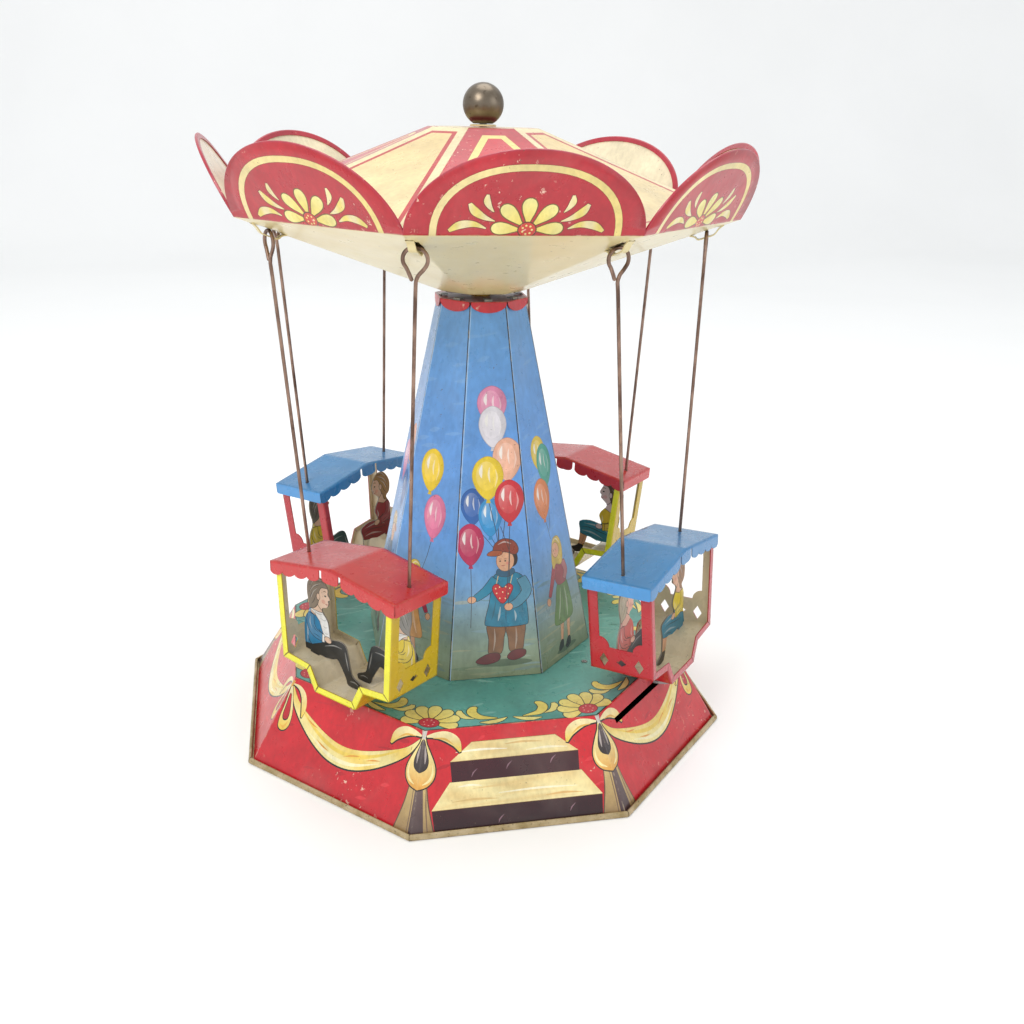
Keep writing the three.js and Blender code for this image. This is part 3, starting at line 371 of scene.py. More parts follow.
def cut(outline, holes, printed, folds, band):
    """The points and triangles of a panel cut along its prints, with each triangle's colour."""
    points, edges = [], []

    def add(line, closed):
        first, count = len(points), len(line)
        points.extend(Vector(p) for p in line)
        edges.extend((first + i, first + (i + 1) % count) for i in range(count if closed else count - 1))

    for loop in [outline, *holes, *(shape for shape, _ in printed.shapes)]:
        add(loop, True)
    for guide in printed.guides:
        add(guide, False)
    border = [(a, b) for a, b in zip(outline, outline[1:] + outline[:1])]
    for start, end in [(f[0], f[1]) for f in folds] + ([] if folds else border):
        dx, dy = end[0] - start[0], end[1] - start[1]
        length = math.hypot(dx, dy)
        if length < 3 * band:
            continue
        for sign in (1, -1):
            nx, ny = -dy / length * band * sign, dx / length * band * sign
            middle = np.array([[(start[0] + end[0]) / 2 + nx * 0.5, (start[1] + end[1]) / 2 + ny * 0.5]])
            if inside(outline, middle)[0]:
                add([(start[0] + nx, start[1] + ny), (end[0] + nx, end[1] + ny)], False)
                break
    found, _, triangles, *_ = geometry.delaunay_2d_cdt(points, edges, [], 0, 1e-4)
    flat = np.array([tuple(p) for p in found])
    triangles = np.array([list(t) for t in triangles])
    middles = flat[triangles].mean(1)
    keep = inside(outline, middles)
    for hole in holes:
        keep &= ~inside(hole, middles)
    triangles, middles = triangles[keep], middles[keep]
    topmost = np.full(len(triangles), -1)
    for i, (shape, _) in enumerate(printed.shapes):
        topmost[inside(shape, middles)] = i
    colours = [printed.ground if i < 0 else printed.shapes[i][1] for i in topmost]
    return flat.tolist(), triangles.tolist(), colours


def lay(sheet, panel, outline, printed, holes=(), folds=(), back=None, edge=None, band=0.8, thick=TIN):
    """Adds a panel to a sheet. folds are (start, end, normal of the panel next to it). back is the
    colour of the other face, or None where nothing sees it; edge is the colour of the cut edges."""
    holes = [list(h) for h in holes]

    def near(point):
        return [(max(0, 1 - off_line(point, f[0], f[1]) / band), f[2]) for f in folds]

    def normal(point):
        bent = panel.normal.copy()
        for share, other in near(point):
            bent += ((panel.normal + other).normalized() - panel.normal) * share
        return bent.normalized()

    def under(point):
        facing = [panel.normal] + [other for share, other in near(point) if share > 0.98]
        shift = np.linalg.lstsq(np.array([tuple(n) for n in facing]), np.ones(len(facing)), rcond=None)[0]
        return panel.at(*point) - Vector(shift) * thick

    points, triangles, colours = cut(outline, holes, printed, folds, band)
    bent = [normal(p) for p in points]
    wear = [max([share for share, _ in near(p)], default=0) for p in points]
    used = {}
    for triangle, colour in zip(triangles, colours):
        tones = [(*(colour(*points[i]) if callable(colour) else colour), wear[i]) for i in triangle]
        sheet.face([panel.at(*points[i]) for i in triangle], tones, [bent[i] for i in triangle])
        for a, b in zip(triangle, triangle[1:] + triangle[:1]):
            used[frozenset((a, b))] = used.get(frozenset((a, b)), 0) + 1
    if back is None:
        return
    rim = (*(edge or back)[:3], 0.6)
    for pair, times in used.items():
        a, b = [points[i] for i in pair]
        on_fold = any(off_line(a, f[0], f[1]) < 0.02 and off_line(b, f[0], f[1]) < 0.02 for f in folds)
        if times == 1 and not on_fold:
            out = panel.at(b[0], b[1]) - panel.at(a[0], a[1])
            out = out.cross(panel.normal).normalized()
            probe = np.array([[(a[0] + b[0]) / 2, (a[1] + b[1]) / 2]]) + 0.05 * np.array(
                [[out.dot(panel.along), out.dot(panel.up)]])
            solid = inside(outline, probe)[0] and not any(inside(h, probe)[0] for h in holes)
            out = -out if solid else out
            sheet.face([panel.at(*a), panel.at(*b), under(b), under(a)], [rim] * 4, [out] * 4)
    points, triangles, _ = cut(outline, holes, Print(back), folds, band)
    for triangle in triangles:
        sheet.face([under(points[i]) for i in triangle], [back] * 3, [-normal(points[i]) for i in triangle])


def lathe(profile, sides, phase=0.0):
    """A sheet that turns a profile of (radius, height) points about the toy's axis, smooth where its
    line bends less than the crease. It is drawn with the solid on its left going up."""
    sheet = Sheet()
    colour, crease = (0.5, 0.5, 0.5), 40
    spans = list(zip(profile, profile[1:]))
    slopes = []
    for (r0, z0), (r1, z1) in spans:
        length = math.hypot(r1 - r0, z1 - z0)
        slopes.append(((z1 - z0) / length, -(r1 - r0) / length))

    def blended(i, j):
        if 0 <= j < len(slopes):
            a, b = slopes[i], slopes[j]
            if a[0] * b[0] + a[1] * b[1] > math.cos(math.radians(crease)):
                return a[0] + b[0], a[1] + b[1]
        return slopes[i]

    for k in range(sides):
        a, b = [2 * math.pi * (k + e) / sides + phase for e in (0, 1)]
        for i, ((r0, z0), (r1, z1)) in enumerate(spans):
            low, high = blended(i, i - 1), blended(i, i + 1)
            places, normals = [], []
            for angle, r, z, (nr, nz) in ((a, r0, z0, low), (b, r0, z0, low),
                                          (b, r1, z1, high), (a, r1, z1, high)):
                places.append((r * math.cos(angle), r * math.sin(angle), z))
                normals.append(Vector((nr * math.cos(angle), nr * math.sin(angle), nz)))
            sheet.face(places, [colour] * 4, normals)
    return sheet


def tube(sheet, line, radius):
    """A round wire along a line of points, with domed ends."""
    sides, colour = 10, (0.3, 0.2, 0.12)
    line = [Vector(p) for p in line]
    last = len(line) - 1
    tangents = [(line[min(i + 1, last)] - line[max(i - 1, 0)]).normalized() for i in range(len(line))]
    side = tangents[0].orthogonal().normalized()
    rings = []
    for i, (place, tangent) in enumerate(zip(line, tangents)):
        side = (side - tangent * side.dot(tangent)).normalized()
        other = tangent.cross(side)
        if i == 0:
            rings += [(place - tangent * radius * 0.6, side, other, 0.35, -tangent)]
        rings += [(place, side, other, 1, Vector())]
        if i == last:
            rings += [(place + tangent * radius * 0.6, side, other, 0.35, tangent)]

    def ring(entry):
        place, u, v, size, cap = entry
        spokes = [u * math.cos(2 * math.pi * k / sides) + v * math.sin(2 * math.pi * k / sides)
                  for k in range(sides)]
        return [place + s * radius * size for s in spokes], [(s + cap).normalized() for s in spokes]

    made = [ring(r) for r in rings]
    for (p0, n0), (p1, n1) in zip(made, made[1:]):
        for k in range(sides):
            j = (k + 1) % sides
            sheet.face([p0[k], p0[j], p1[j], p1[k]], [colour] * 4, [n0[k], n0[j], n1[j], n1[k]])
    for (places, _), cap in ((made[0], -tangents[0]), (made[-1], tangents[-1])):
        sheet.face(places, [colour] * sides, [cap] * sides)


def bent_strip(sheet, path, outward, across, half_width, thick, face_colour, edge_colour):
    """A narrow strip of tin along a path of (distance outward, height) points."""
    for (r0, z0), (r1, z1) in zip(path, path[1:]):
        out = (outward * (z1 - z0) - UP * (r1 - r0)).normalized()
        for shift, facing in ((0, out), (-thick, -out)):
            corners = ((r0, z0, -1), (r0, z0, 1), (r1, z1, 1), (r1, z1, -1))
            sheet.face([outward * r + UP * z + across * half_width * w + out * shift for r, z, w in corners],
                       [face_colour] * 4, [facing] * 4)
        for side in (-1, 1):
            corners = ((r0, z0, 0), (r1, z1, 0), (r1, z1, -thick), (r0, z0, -thick))
            sheet.face([outward * r + UP * z + across * half_width * side + out * d for r, z, d in corners],
                       [edge_colour] * 4, [across * side] * 4)


def level_folds(corners, sides, turn=0):
    """The folds of a level octagon towards the sides under its edges."""
    folds = []
    for a, b in zip(corners, corners[1:] + corners[:1]):
        degrees = math.degrees(math.atan2(a[0] + b[0], -(a[1] + b[1]))) - turn
        folds.append((a, b, sides[round(degrees / 45) % SIDES].normal))
    return folds


def side_folds(face, low, high, left, right):
    """The folds of a sloping side towards the panels that have these normals, or None where it ends."""
    corners = face.outline()
    pairs = [(corners[0], corners[1], low), (corners[1], corners[2], right), (corners[2], corners[3], high),
             (corners[3], corners[0], left)]
    return [p for p in pairs if p[2] is not None]


# ---------- materials ----------
class Nodes:
    """A material's node tree, with short ways to add and join nodes."""

    def __init__(self, name):
        self.material = bpy.data.materials.new(name)
        self.material.use_nodes = True
        self.tree = self.material.node_tree
        self.shader = self.tree.nodes["Principled BSDF"]
        self.place = self.add("ShaderNodeTexCoord").outputs["Object"]

    def add(self, kind, **settings):
        node = self.tree.nodes.new(kind)
        for key, value in settings.items():
            setattr(node, key, value)
        return node

    def give(self, socket, value):
        if isinstance(value, bpy.types.NodeSocket):
            self.tree.links.new(value, socket)
        elif hasattr(value, "__len__") and len(socket.default_value) == 4:
            socket.default_value = (*value[:3], 1)
        else:
            socket.default_value = value

    def set(self, **values):
        for name, value in values.items():
            self.give(self.shader.inputs[name.replace("_", " ")], value)

    def noise(self, scale, detail, roughness=0.55, stretch=None, warp=0):
        node = self.add("ShaderNodeTexNoise")
        self.give(node.inputs["Scale"], scale)
        self.give(node.inputs["Detail"], detail)
        self.give(node.inputs["Roughness"], roughness)
        self.give(node.inputs["Distortion"], warp)
        place = self.place
        if stretch:
            mapping = self.add("ShaderNodeMapping")
            self.give(mapping.inputs["Scale"], stretch)
            self.tree.links.new(place, mapping.inputs["Vector"])
            place = mapping.outputs["Vector"]
        self.tree.links.new(place, node.inputs["Vector"])
        return node.outputs["Fac"]

    def span(self, value, low, high, to_low=0.0, to_high=1.0):
        node = self.add("ShaderNodeMapRange")
        for name, given in (("Value", value), ("From Min", low), ("From Max", high),
                            ("To Min", to_low), ("To Max", to_high)):
            self.give(node.inputs[name], given)
        return node.outputs["Result"]

    def math(self, operation, a, b):
        node = self.add("ShaderNodeMath", operation=operation)
        self.give(node.inputs[0], a)
        self.give(node.inputs[1], b)
        return node.outputs[0]

    def mix(self, share, a, b, blend="MIX"):
        node = self.add("ShaderNodeMix", data_type="RGBA", blend_type=blend)
        self.give(node.inputs["Factor"], share)
        self.give(node.inputs[6], a)
        self.give(node.inputs[7], b)
        return node.outputs[2]

    def bump(self, height, strength, distance):
        node = self.add("ShaderNodeBump")
        self.give(node.inputs["Strength"], strength)
        self.give(node.inputs["Distance"], distance)
        self.give(node.inputs["Height"], height)
        self.tree.links.new(node.outputs["Normal"], self.shader.inputs["Normal"])


def printed_tin(name, mottle=0.16, chips=1.0, worn="b9a685", coat=0.25, rough=0.3, rub=0.6, dent=0.45):
    """Lithographed tin: the paint attribute, uneven like brushwork, with pale patches of painted sheen,
    chipped where it is red and worn along folds and edges."""
    n = Nodes(name)
    attribute = n.add("ShaderNodeAttribute", attribute_name="paint")
    colour = attribute.outputs["Color"]
    broad = n.span(n.noise(55, 4), 0.3, 0.7, 0.86 - mottle * 0.8, 0.86 + mottle * 0.6)
    fine = n.span(n.noise(520, 3, stretch=(1, 1, 0.45)), 0.3, 0.7, 1 - mottle * 0.6, 1 + mottle * 0.5)
    colour = n.mix(1, colour, n.math("MULTIPLY", broad, fine), "MULTIPLY")
    # Painted sheen: the colour is mixed towards a pale grey in patches, standing in for reflections in the
    # glossy coat.
    painted_sheen = n.span(n.noise(30, 3, warp=0.6), 0.52, 0.78, 0, 0.06)
    colour = n.mix(painted_sheen, colour, rgb("d8cfc0"))
    split = n.add("ShaderNodeSeparateColor")
    n.give(split.inputs[0], attribute.outputs["Color"])
    redness = n.span(n.math("SUBTRACT", split.outputs[0], split.outputs[1]), 0.25, 0.4)
    patches = n.span(n.noise(34, 3), 0.5, 0.62)
    flakes = n.span(n.noise(430, 5, 0.62, stretch=(1, 1, 0.7), warp=0.5), 0.635, 0.665)
    chipped = n.math("MULTIPLY", n.math("MULTIPLY", flakes, patches), n.math("MULTIPLY", redness, chips))
    colour = n.mix(chipped, colour, rgb("e3b9a4"))
    specks = n.math("MULTIPLY", n.span(n.noise(900, 2, 0.5), 0.71, 0.74),
                    n.span(n.noise(60, 2), 0.45, 0.6, 0.2, 0.8))
    colour = n.mix(specks, colour, rgb("5b4638"))
    rubbed = n.span(n.noise(260, 5, 0.65), 0.5, 0.62)
    rubbed = n.math("MULTIPLY", rubbed, n.span(attribute.outputs["Alpha"], 0.45, 0.95))
    colour = n.mix(n.math("MULTIPLY", rubbed, rub), colour, rgb(worn))
    gloss = n.math("ADD", n.span(n.noise(140, 4), 0.3, 0.75, rough - 0.06, rough + 0.12),
                   n.math("MULTIPLY", chipped, 0.25))
    dents = n.math("ADD", n.noise(36, 2), n.math("MULTIPLY", n.noise(700, 2), 0.05))
    dents = n.math("SUBTRACT", dents, n.math("MULTIPLY", chipped, 0.04))
    n.set(Base_Color=colour, Roughness=gloss, Coat_Weight=coat, Coat_Roughness=0.16)
    n.bump(dents, dent, 0.0009)
    return n.material


def enamel(name, code, second, reflection_tint):
    """Sprayed paint on tin, a little uneven, with faint darker patches of painted reflection and fine specks.
    """
    n = Nodes(name)
    colour = n.mix(n.span(n.noise(24, 4), 0.35, 0.7), rgb(code), rgb(second))
    colour = n.mix(1, colour, n.span(n.noise(160, 3), 0.3, 0.7, 0.89, 0.935), "MULTIPLY")
    # Darker warped patches: a painted reflection in the glossy enamel.
    colour = n.mix(n.span(n.noise(17, 3, warp=0.8), 0.55, 0.75, 0, 0.22), colour, rgb(reflection_tint))
    colour = n.mix(n.math("MULTIPLY", n.span(n.noise(800, 2), 0.71, 0.74), 0.6), colour, rgb("6b5640"))
    n.set(Base_Color=colour, Roughness=n.span(n.noise(120, 3), 0.3, 0.7, 0.26, 0.38), Coat_Weight=0.25,
          Coat_Roughness=0.1)
    n.bump(n.noise(18, 2), 0.05, 0.0006)
    return n.material


def metal(name, code, second, rough, pits, scale=120, stretch=None):
    """Bare metal with tarnish in patches, fine scratches and dull pits."""
    n = Nodes(name)
    tarnish = n.span(n.noise(scale, 4, 0.6, stretch), 0.4, 0.64)
    colour = n.mix(tarnish, rgb(code), rgb(second))
    pitted = n.math("MULTIPLY", n.span(n.noise(scale * 6, 3), 0.62, 0.7), pits)
    colour = n.mix(pitted, colour, rgb("2b211b"))
    gloss = n.math("ADD", n.span(tarnish, 0, 1, rough - 0.05, rough + 0.12), n.math("MULTIPLY", pitted, 0.3))
    n.set(Base_Color=colour, Metallic=1.0, Roughness=gloss)
    n.bump(n.noise(scale * 8, 3, 0.6, stretch), 0.15, 0.0003)
    return n.material


def studio_floor():
    n = Nodes("studio_floor")
    colour = n.mix(n.span(n.noise(2.5, 3), 0.35, 0.65), rgb("fbfbfa"), rgb("f8f8f7"))
    n.set(Base_Color=colour, Roughness=n.span(n.noise(40, 2), 0.3, 0.7, 0.5, 0.62))
    return n.material


LITHO = printed_tin("litho_tin")
CABIN_PAINT = printed_tin("cabin_paint", mottle=0.08, chips=0.3, coat=0.3, rough=0.27, rub=0.12, dent=0.14)
FIGURE_PAINT = printed_tin("figure_paint", chips=0.0, worn="7d6a58", coat=0.15, rough=0.36, rub=0)
CANOPY_ENAMEL = enamel("canopy_enamel", "ecdca6", "e4d094", reflection_tint="d8ba80")
STEEL = metal("clock_steel", "a7a9ab", "7f7c78", rough=0.3, pits=0.4)
BRASS = metal("clock_brass", "c19a4c", "8d6c34", rough=0.3, pits=0.3)
WIRE = metal("wire_steel", "a08474", "6a544a", rough=0.42, scale=260, pits=0.5, stretch=(1, 1, 0.3))
BRONZE = metal("ball_bronze", "7d7264", "5b5044", rough=0.34, scale=60, pits=0.45)
RIM_TIN = metal("rim_tin", "c2b08e", "a39068", rough=0.46, pits=0.45)
KEY_STEEL = metal("key_steel", "b4b3ae", "8a857c", rough=0.26, scale=90, pits=0.5)


# ---------- what is printed on the base ----------
def shaded(light, dark, s_dark, s_light):
    """A colour that changes up the panel."""
    return lambda t, s: mixed(dark, light, (s - s_dark) / (s_light - s_dark))


def from_corner(face, sign):
    """Places on a side by their distance in from its right corner (sign 1) or left one, and up it."""
    return lambda u, s: (sign * (face.half(s) - u), s)


def hanging_drop(p, face, sign):
    """Half of the painted drop, leaf and foot that sit on a corner of the skirt; sign is the side."""
    on = from_corner(face, sign)

    def loop(points):
        return [on(u, s) for u, s in through(points, steps=4)]

    foot = [on(-2, 20), on(3.8, 20), on(5.4, 12), on(7.6, 5), on(9.6, -1), on(-2, -1)]
    p.add(foot, shaded(rgb("c9ae72"), rgb("a3855a"), 0, 20))
    wide = 1 if sign < 0 else 0.35
    p.add([on(-2, 20), on(2.2 * wide, 20), on(3.6 * wide, 10), on(5.2 * wide, -1), on(-2, -1)],
          shaded(rgb("6d5854"), rgb("4b3638"), 0, 20))
    p.stroke([on(3.1 * wide + 0.6, 19), on(4.6 * wide + 0.4, 9), on(6.4 * wide + 0.4, 0)], [0.3, 0.5, 0.4],
             rgb("7a614c"))
    p.stroke([on(3.8, 20), on(5.5, 12), on(7.7, 5), on(9.8, -1)], [0.3, 0.5, 0.5, 0.5], rgb("5e4636"))
    leaf = ribbon([on(0.4, 39), on(5, 39.3), on(9.6, 38.4), on(13.8, 35.8), on(16.4, 31.6)],
                  [0.4, 2.4, 4.2, 4, 0.9])
    p.add(shifted(grown(leaf, 0.3), 0.2 * sign, -0.35), INK)
    p.add(leaf, shaded(PALE, GOLD, 32, 39))
    p.stroke([on(4, 38.2), on(9, 37.4), on(13, 34.8)], [0.2, 0.9, 0.2], rgb("e3b254"))
    drop_shape = [(-3, 39), (0.2, 39.6), (1.6, 36), (3.8, 32), (5.8, 28), (6.7, 25), (6.6, 22),
                  (5.4, 19.8), (3.4, 18.4), (0, 17.8), (-3, 18)]
    p.add(grown(loop(drop_shape), 0.55), INK)
    p.add(loop(drop_shape), shaded(rgb("f0dc94"), AMBER, 17, 30))
    p.stroke([on(5.2, 27.5), on(5.7, 24), on(4.6, 21), on(2, 19.6)], [0.2, 0.9, 1.1, 0.3], rgb("f6e6a4"))
    inner = [(-2, 37.6), (0.1, 37.8), (1.4, 34.4), (2.7, 30.6), (3.1, 28), (2.4, 25.9), (0, 24.9), (-2, 25)]
    p.add(grown(loop(inner), 0.35), INK)
    p.add(loop(inner), shaded(rgb("5f5052"), rgb("39302f"), 27, 36))
    p.add(ribbon([on(1, 35.4), on(1.7, 31.5), on(1.9, 28)], [0.2, 0.9, 0.2]), rgb("b5a8a2"))
    p.add([on(-1, 37.8), on(0.7, 38.2), on(1.2, 41.5), on(-1, 41.5)], rgb("cfc9c0"))


def bow(p, face, sign):
    """Half of a tied bow on a corner of the skirt: a hanging loop, a tail that curls down and the knot."""
    on = from_corner(face, sign)
    loop = [(0.4, 38.4), (3.2, 34), (6.8, 28), (8.8, 22.6), (8.6, 19), (6.4, 17.4), (3.6, 18.6), (2.2, 23),
            (1.6, 29), (0.6, 35)]
    hole = [(1.8, 34.4), (4, 30.6), (6, 26), (6.4, 23.2), (4.8, 22.4), (3.4, 24.2), (2.6, 28.6)]
    for points, colour in ((loop, shaded(PALE, GOLD, 18, 34)), (hole, shaded(RED, DEEP_RED, 20, 32))):
        shape = [on(u, s) for u, s in through(points, steps=4)]
        p.add(shifted(grown(shape, 0.35), 0, -0.25), INK)
        p.add(shape, colour)
    p.stroke([on(7.6, 22), on(6.6, 19), on(4, 19.6)], [0.2, 1, 0.2], rgb("e9b24e"))
    tail = ribbon([on(0.4, 38.6), on(5, 38), on(9.4, 35), on(12.4, 30), on(13.4, 26)],
                  [0.3, 1.7, 2.8, 2.6, 0.5])
    p.add(shifted(grown(tail, 0.3), 0.2 * sign, -0.3), INK)
    p.add(tail, shaded(PALE, GOLD, 26, 38))
    p.add([on(-1, 36.8), on(0.9, 37.2), on(1.2, 40), on(-1, 40.4)], rgb("d8a24a"))


def steps_print(p):
    """Two painted steps: dark risers and pale treads that narrow towards the deck."""
    risers = shaded(rgb("3f0b18"), rgb("2e070f"), 0, 28)

    def treads(t, s):
        return mixed(rgb("f3e3a6"), rgb("e3c482"), 0.35 + 0.45 * math.sin(t * 0.21 + s * 0.5))

    p.add([(-36, -1), (36, -1), (36.6, 8.8), (-36.6, 8.8)], risers)
    p.lined([(-36.7, 8.8), (36.7, 8.8), (28.3, 19.5), (-28.3, 19.5)], treads, rgb("8d6a3c"), 0.2)
    p.add([(-27.4, 19.5), (27.4, 19.5), (27.6, 27.9), (-27.6, 27.9)], risers)
    p.lined([(-27.6, 27.9), (27.6, 27.9), (18, 35.2), (-18, 35.2)], treads, rgb("8d6a3c"), 0.2)
    for t, s, length, tone in ((-14, 31.5, 22, "fdf6da"), (9, 13.5, 34, "f9f0cc"), (-18, 11.5, 20, "d8b878"),
                               (4, 33.2, 16, "dcb676"), (-6, 16.2, 26, "e8cc8c"), (14, 30, 18, "f8eec8"),
                               (-20, 17.4, 10, "fbf2d0"), (20, 10.6, 16, "e0b46e")):
        p.dash(t, s, length, (0, 0.4, -0.2), 0.9, rgb(tone))
    for t, s in ((-4, 24.5), (15, 25.2), (-19, 22.6), (22, 4.6), (-9, 3)):
        p.stroke([(t, s - 1.6), (t + 0.8, s), (t + 2.6, s + 1.6)], [0.1, 0.5, 0.1], rgb("8f6a76"))


def swag_print(p):
    """A painted cloth that hangs between two corners, with its folds."""
    middle = [(-37, 38.2), (-31.5, 30.6), (-20, 23.4), (-9, 18.9), (0, 17.6), (9, 18.9), (20, 23.4),
              (31.5, 30.6), (37, 38.2)]
    swag = ribbon(middle, [0.4, 3.4, 6.6, 8.3, 8.7, 8.3, 6.6, 3.4, 0.4])
    light, dark = rgb("f4e49c"), rgb("ebc650")
    p.add(shifted(grown(swag, 0.4), 0, -0.35), INK)
    p.add(swag, lambda t, s: mixed(light, dark, 0.3 + 0.45 * math.sin(t * 0.13 + s * 0.35)))
    p.stroke(shifted(middle[1:-1], 0, 1.5), [0.2, 1.1, 1.8, 1.6, 1.8, 1.1, 0.2], rgb("edce5c"))
    p.stroke(shifted(middle[2:-2], 0, -2.2), [0.2, 1.3, 1.7, 1.3, 0.2], rgb("f8efbe"))
    for x, y, length in ((-20, 25.4, 7), (-11, 18.4, 8), (6, 19.8, 9), (17, 21.6, 7)):
        fall = length if x < 0 else -length
        p.dash(x, y, length, (fall * 0.2, 0, -fall * 0.12), 0.7, rgb("e09a3e"), tip=0.1)


def skirt_print(face, number):
    """A side of the skirt: brushed red, steps on side 0 or a swag, and half an ornament at each corner."""
    p = Print(lambda t, s: mixed(RED, DEEP_RED, 0.3 - s / 90))
    p.guides += [[(-60, s), (60, s)] for s in (12, 26)]
    rng = random.Random(70 + number)
    for _ in range(22):
        t, s, length = rng.uniform(-44, 44), rng.uniform(3, 37), rng.uniform(3, 9)
        p.dash(t, s, length, (-0.6, 0.3, 0.9), rng.uniform(0.8, 2),
               rgb(rng.choice(["dc343c", "b81c28", "c8222e"])))
    if number == 0:
        steps_print(p)
    else:
        swag_print(p)
    for sign in (-1, 1):
        corner = abs((45 * number + 22.5 * sign + 180) % 360 - 180)
        if corner in (22.5, 112.5):
            hanging_drop(p, face, sign)
        else:
            bow(p, face, sign)
    return p


def petal(p, x, y, angle, length, width, near, far, line):
    """A petal that points away from (x, y) at an angle in degrees."""
    c, s = math.cos(math.radians(angle)), math.sin(math.radians(angle))
    loop = leaf_shape(x + c * length * 0.16, y + s * length * 0.16, x + c * length, y + s * length, width)
    p.lined(loop, lambda a, b: mixed(near, far, math.hypot(a - x, b - y) / length), line, 0.42)


DECK_CURLS = [  # beside the middle of a side with its outer edge at -Y: places and widths
    ([(13, -75.4), (14.8, -76.6), (15.6, -79.6), (12.8, -83.4), (5.6, -85.2)], [1.4, 3.6, 4.2, 3.2, 0.3]),
    ([(20.6, -77), (21, -79.2), (19.2, -82.4), (15.4, -84.2)], [1.6, 3, 2.4, 0.3]),
    ([(13.4, -87.4), (9.4, -87.8), (5, -87), (1.4, -85.2)], [0.4, 2.2, 2.2, 0.3]),
]


def deck_print():
    """Brushed teal, a dark edge, a half flower at each corner and curls beside the middle of each side."""
    p = Print(lambda t, s: mixed(TEAL, DEEP_TEAL, 0.5 + 0.5 * math.sin(t * 0.09 + math.sin(s * 0.07) * 2)))
    p.guides += [[(x, -98), (x, 98)] for x in range(-90, 91, 12)]
    rng = random.Random(7)
    for _ in range(130):
        a, r = rng.uniform(0, 2 * math.pi), rng.uniform(50, 88)
        x, y, length, lean = r * math.cos(a), r * math.sin(a), rng.uniform(5, 15), rng.uniform(-0.5, 0.5)
        tone = rgb(rng.choice(["7cc0b6", "8dc4ba", "56998f", "6aa898", "86b8b0", "468b82"]))
        rise = lean * length / 2
        p.dash(x, y, length, (-rise, 0, rise), rng.uniform(0.7, 2.2), mixed(TEAL, tone, 0.7))
    line = rgb("26332f")
    edge = octagon(DECK[0])
    for a, b in zip(edge, edge[1:] + edge[:1]):
        p.line([a, b], 1.3, rgb("33483f"))
    for k in range(SIDES):
        c, s = math.cos(math.radians(45 * k)), math.sin(math.radians(45 * k))
        for sign in (-1, 1):
            for at, widths in DECK_CURLS:
                loop = ribbon([(sign * a * c - b * s, sign * a * s + b * c) for a, b in at], widths)
                p.lined(loop, rgb("f1de72") if widths[1] > 3 else rgb("f3e68e"), line, 0.4)
    for k in range(SIDES):
        corner = 45 * k - 67.5
        x, y = 91.0 * math.cos(math.radians(corner)), 91.0 * math.sin(math.radians(corner))
        inward = corner + 180
        for spread in (-88, 88, -60, 60, -32, 32, 0):
            length = 13.4 if abs(spread) < 80 else 12.4
            petal(p, x, y, inward + spread, length, 5.6, rgb("ecd05c"), rgb("f5e88c"), line)
        p.lined(oval(x, y, 4.3, 3.4, inward + 90), rgb("c8323e"), rgb("5a1c22"), 0.35)
        p.seeds(x, y, 2.2, 0.4, rgb("f0a8a0"))
    return p


# ---------- what is printed on the tower ----------
SKY = [(0, "85906e"), (7, "8c9c80"), (14, "90a48e"), (22, "84a09c"), (32, "7ea2b4"), (40, "6e9fcb"),
       (60, "669ddc"), (100, "6199dc"), (140, "639cda"), (170, "6aa3da")]


def sky(_, s):
    """The ground colour of a tower side at a height."""
    for (low, a), (high, b) in zip(SKY, SKY[1:]):
        if s <= high:
            return mixed(rgb(a), rgb(b), (s - low) / (high - low))
    return rgb(SKY[-1][1])


# A balloon of radius 1 about its middle, and its glints: places, width at the tips and middle, whiteness.
BALLOON = [(0, 1), (0.72, 0.72), (1, 0.12), (0.74, -0.5), (0.2, -0.95), (-0.2, -0.95), (-0.74, -0.5),
           (-1, 0.12), (-0.72, 0.72)]
BALLOON_GLINTS = [
    ([(-0.36, 0.62), (-0.46, 0.3), (-0.4, 0.02)], 0.3, 0.24, 0.85),
    ([(0.12, 0.5), (0.06, 0.16), (0.14, -0.2)], 0.2, 0.14, 0.55),
    ([(0.5, 0.4), (0.6, 0), (0.44, -0.44)], 0.2, 0.12, 0.3),
]


def balloon(p, x, s, rx, ry, code, held=None):
    """A balloon of one colour with its knot, its highlights and a string to a hand."""
    tone = rgb(code)
    if held:
        p.line([(x, s - ry), ((x + held[0]) / 2 + 0.4, (s - ry + held[1]) / 2), held], 0.3, rgb("3a3f45"))
    foot, neck = s - ry - 1.6, s - ry + 0.8
    p.add([(x - 1.1, foot), (x + 1.1, foot), (x + 0.4, neck), (x - 0.4, neck)], mixed(tone, INK, 0.25))
    body = [(x + rx * u, s + ry * v) for u, v in through(BALLOON, steps=4)]
    p.add(grown(body, 0.22), mixed(tone, INK, 0.45))
    p.add(body, lambda a, b: mixed(tone, INK, 0.05 + 0.2 * max(0, (a - x) / rx)))
    inner = oval(x - rx * 0.08, s + ry * 0.1, rx * 0.68, ry * 0.68, steps=20)
    p.add(inner, lambda a, b: mixed(tone, WHITE, 0.04 + 0.14 * max(0, (x - a) / rx + (b - s) / ry)))
    for points, tip, width, share in BALLOON_GLINTS:
        places = [(x + rx * u, s + ry * v) for u, v in points]
        p.stroke(places, [tip, rx * width, tip], mixed(tone, WHITE, share))


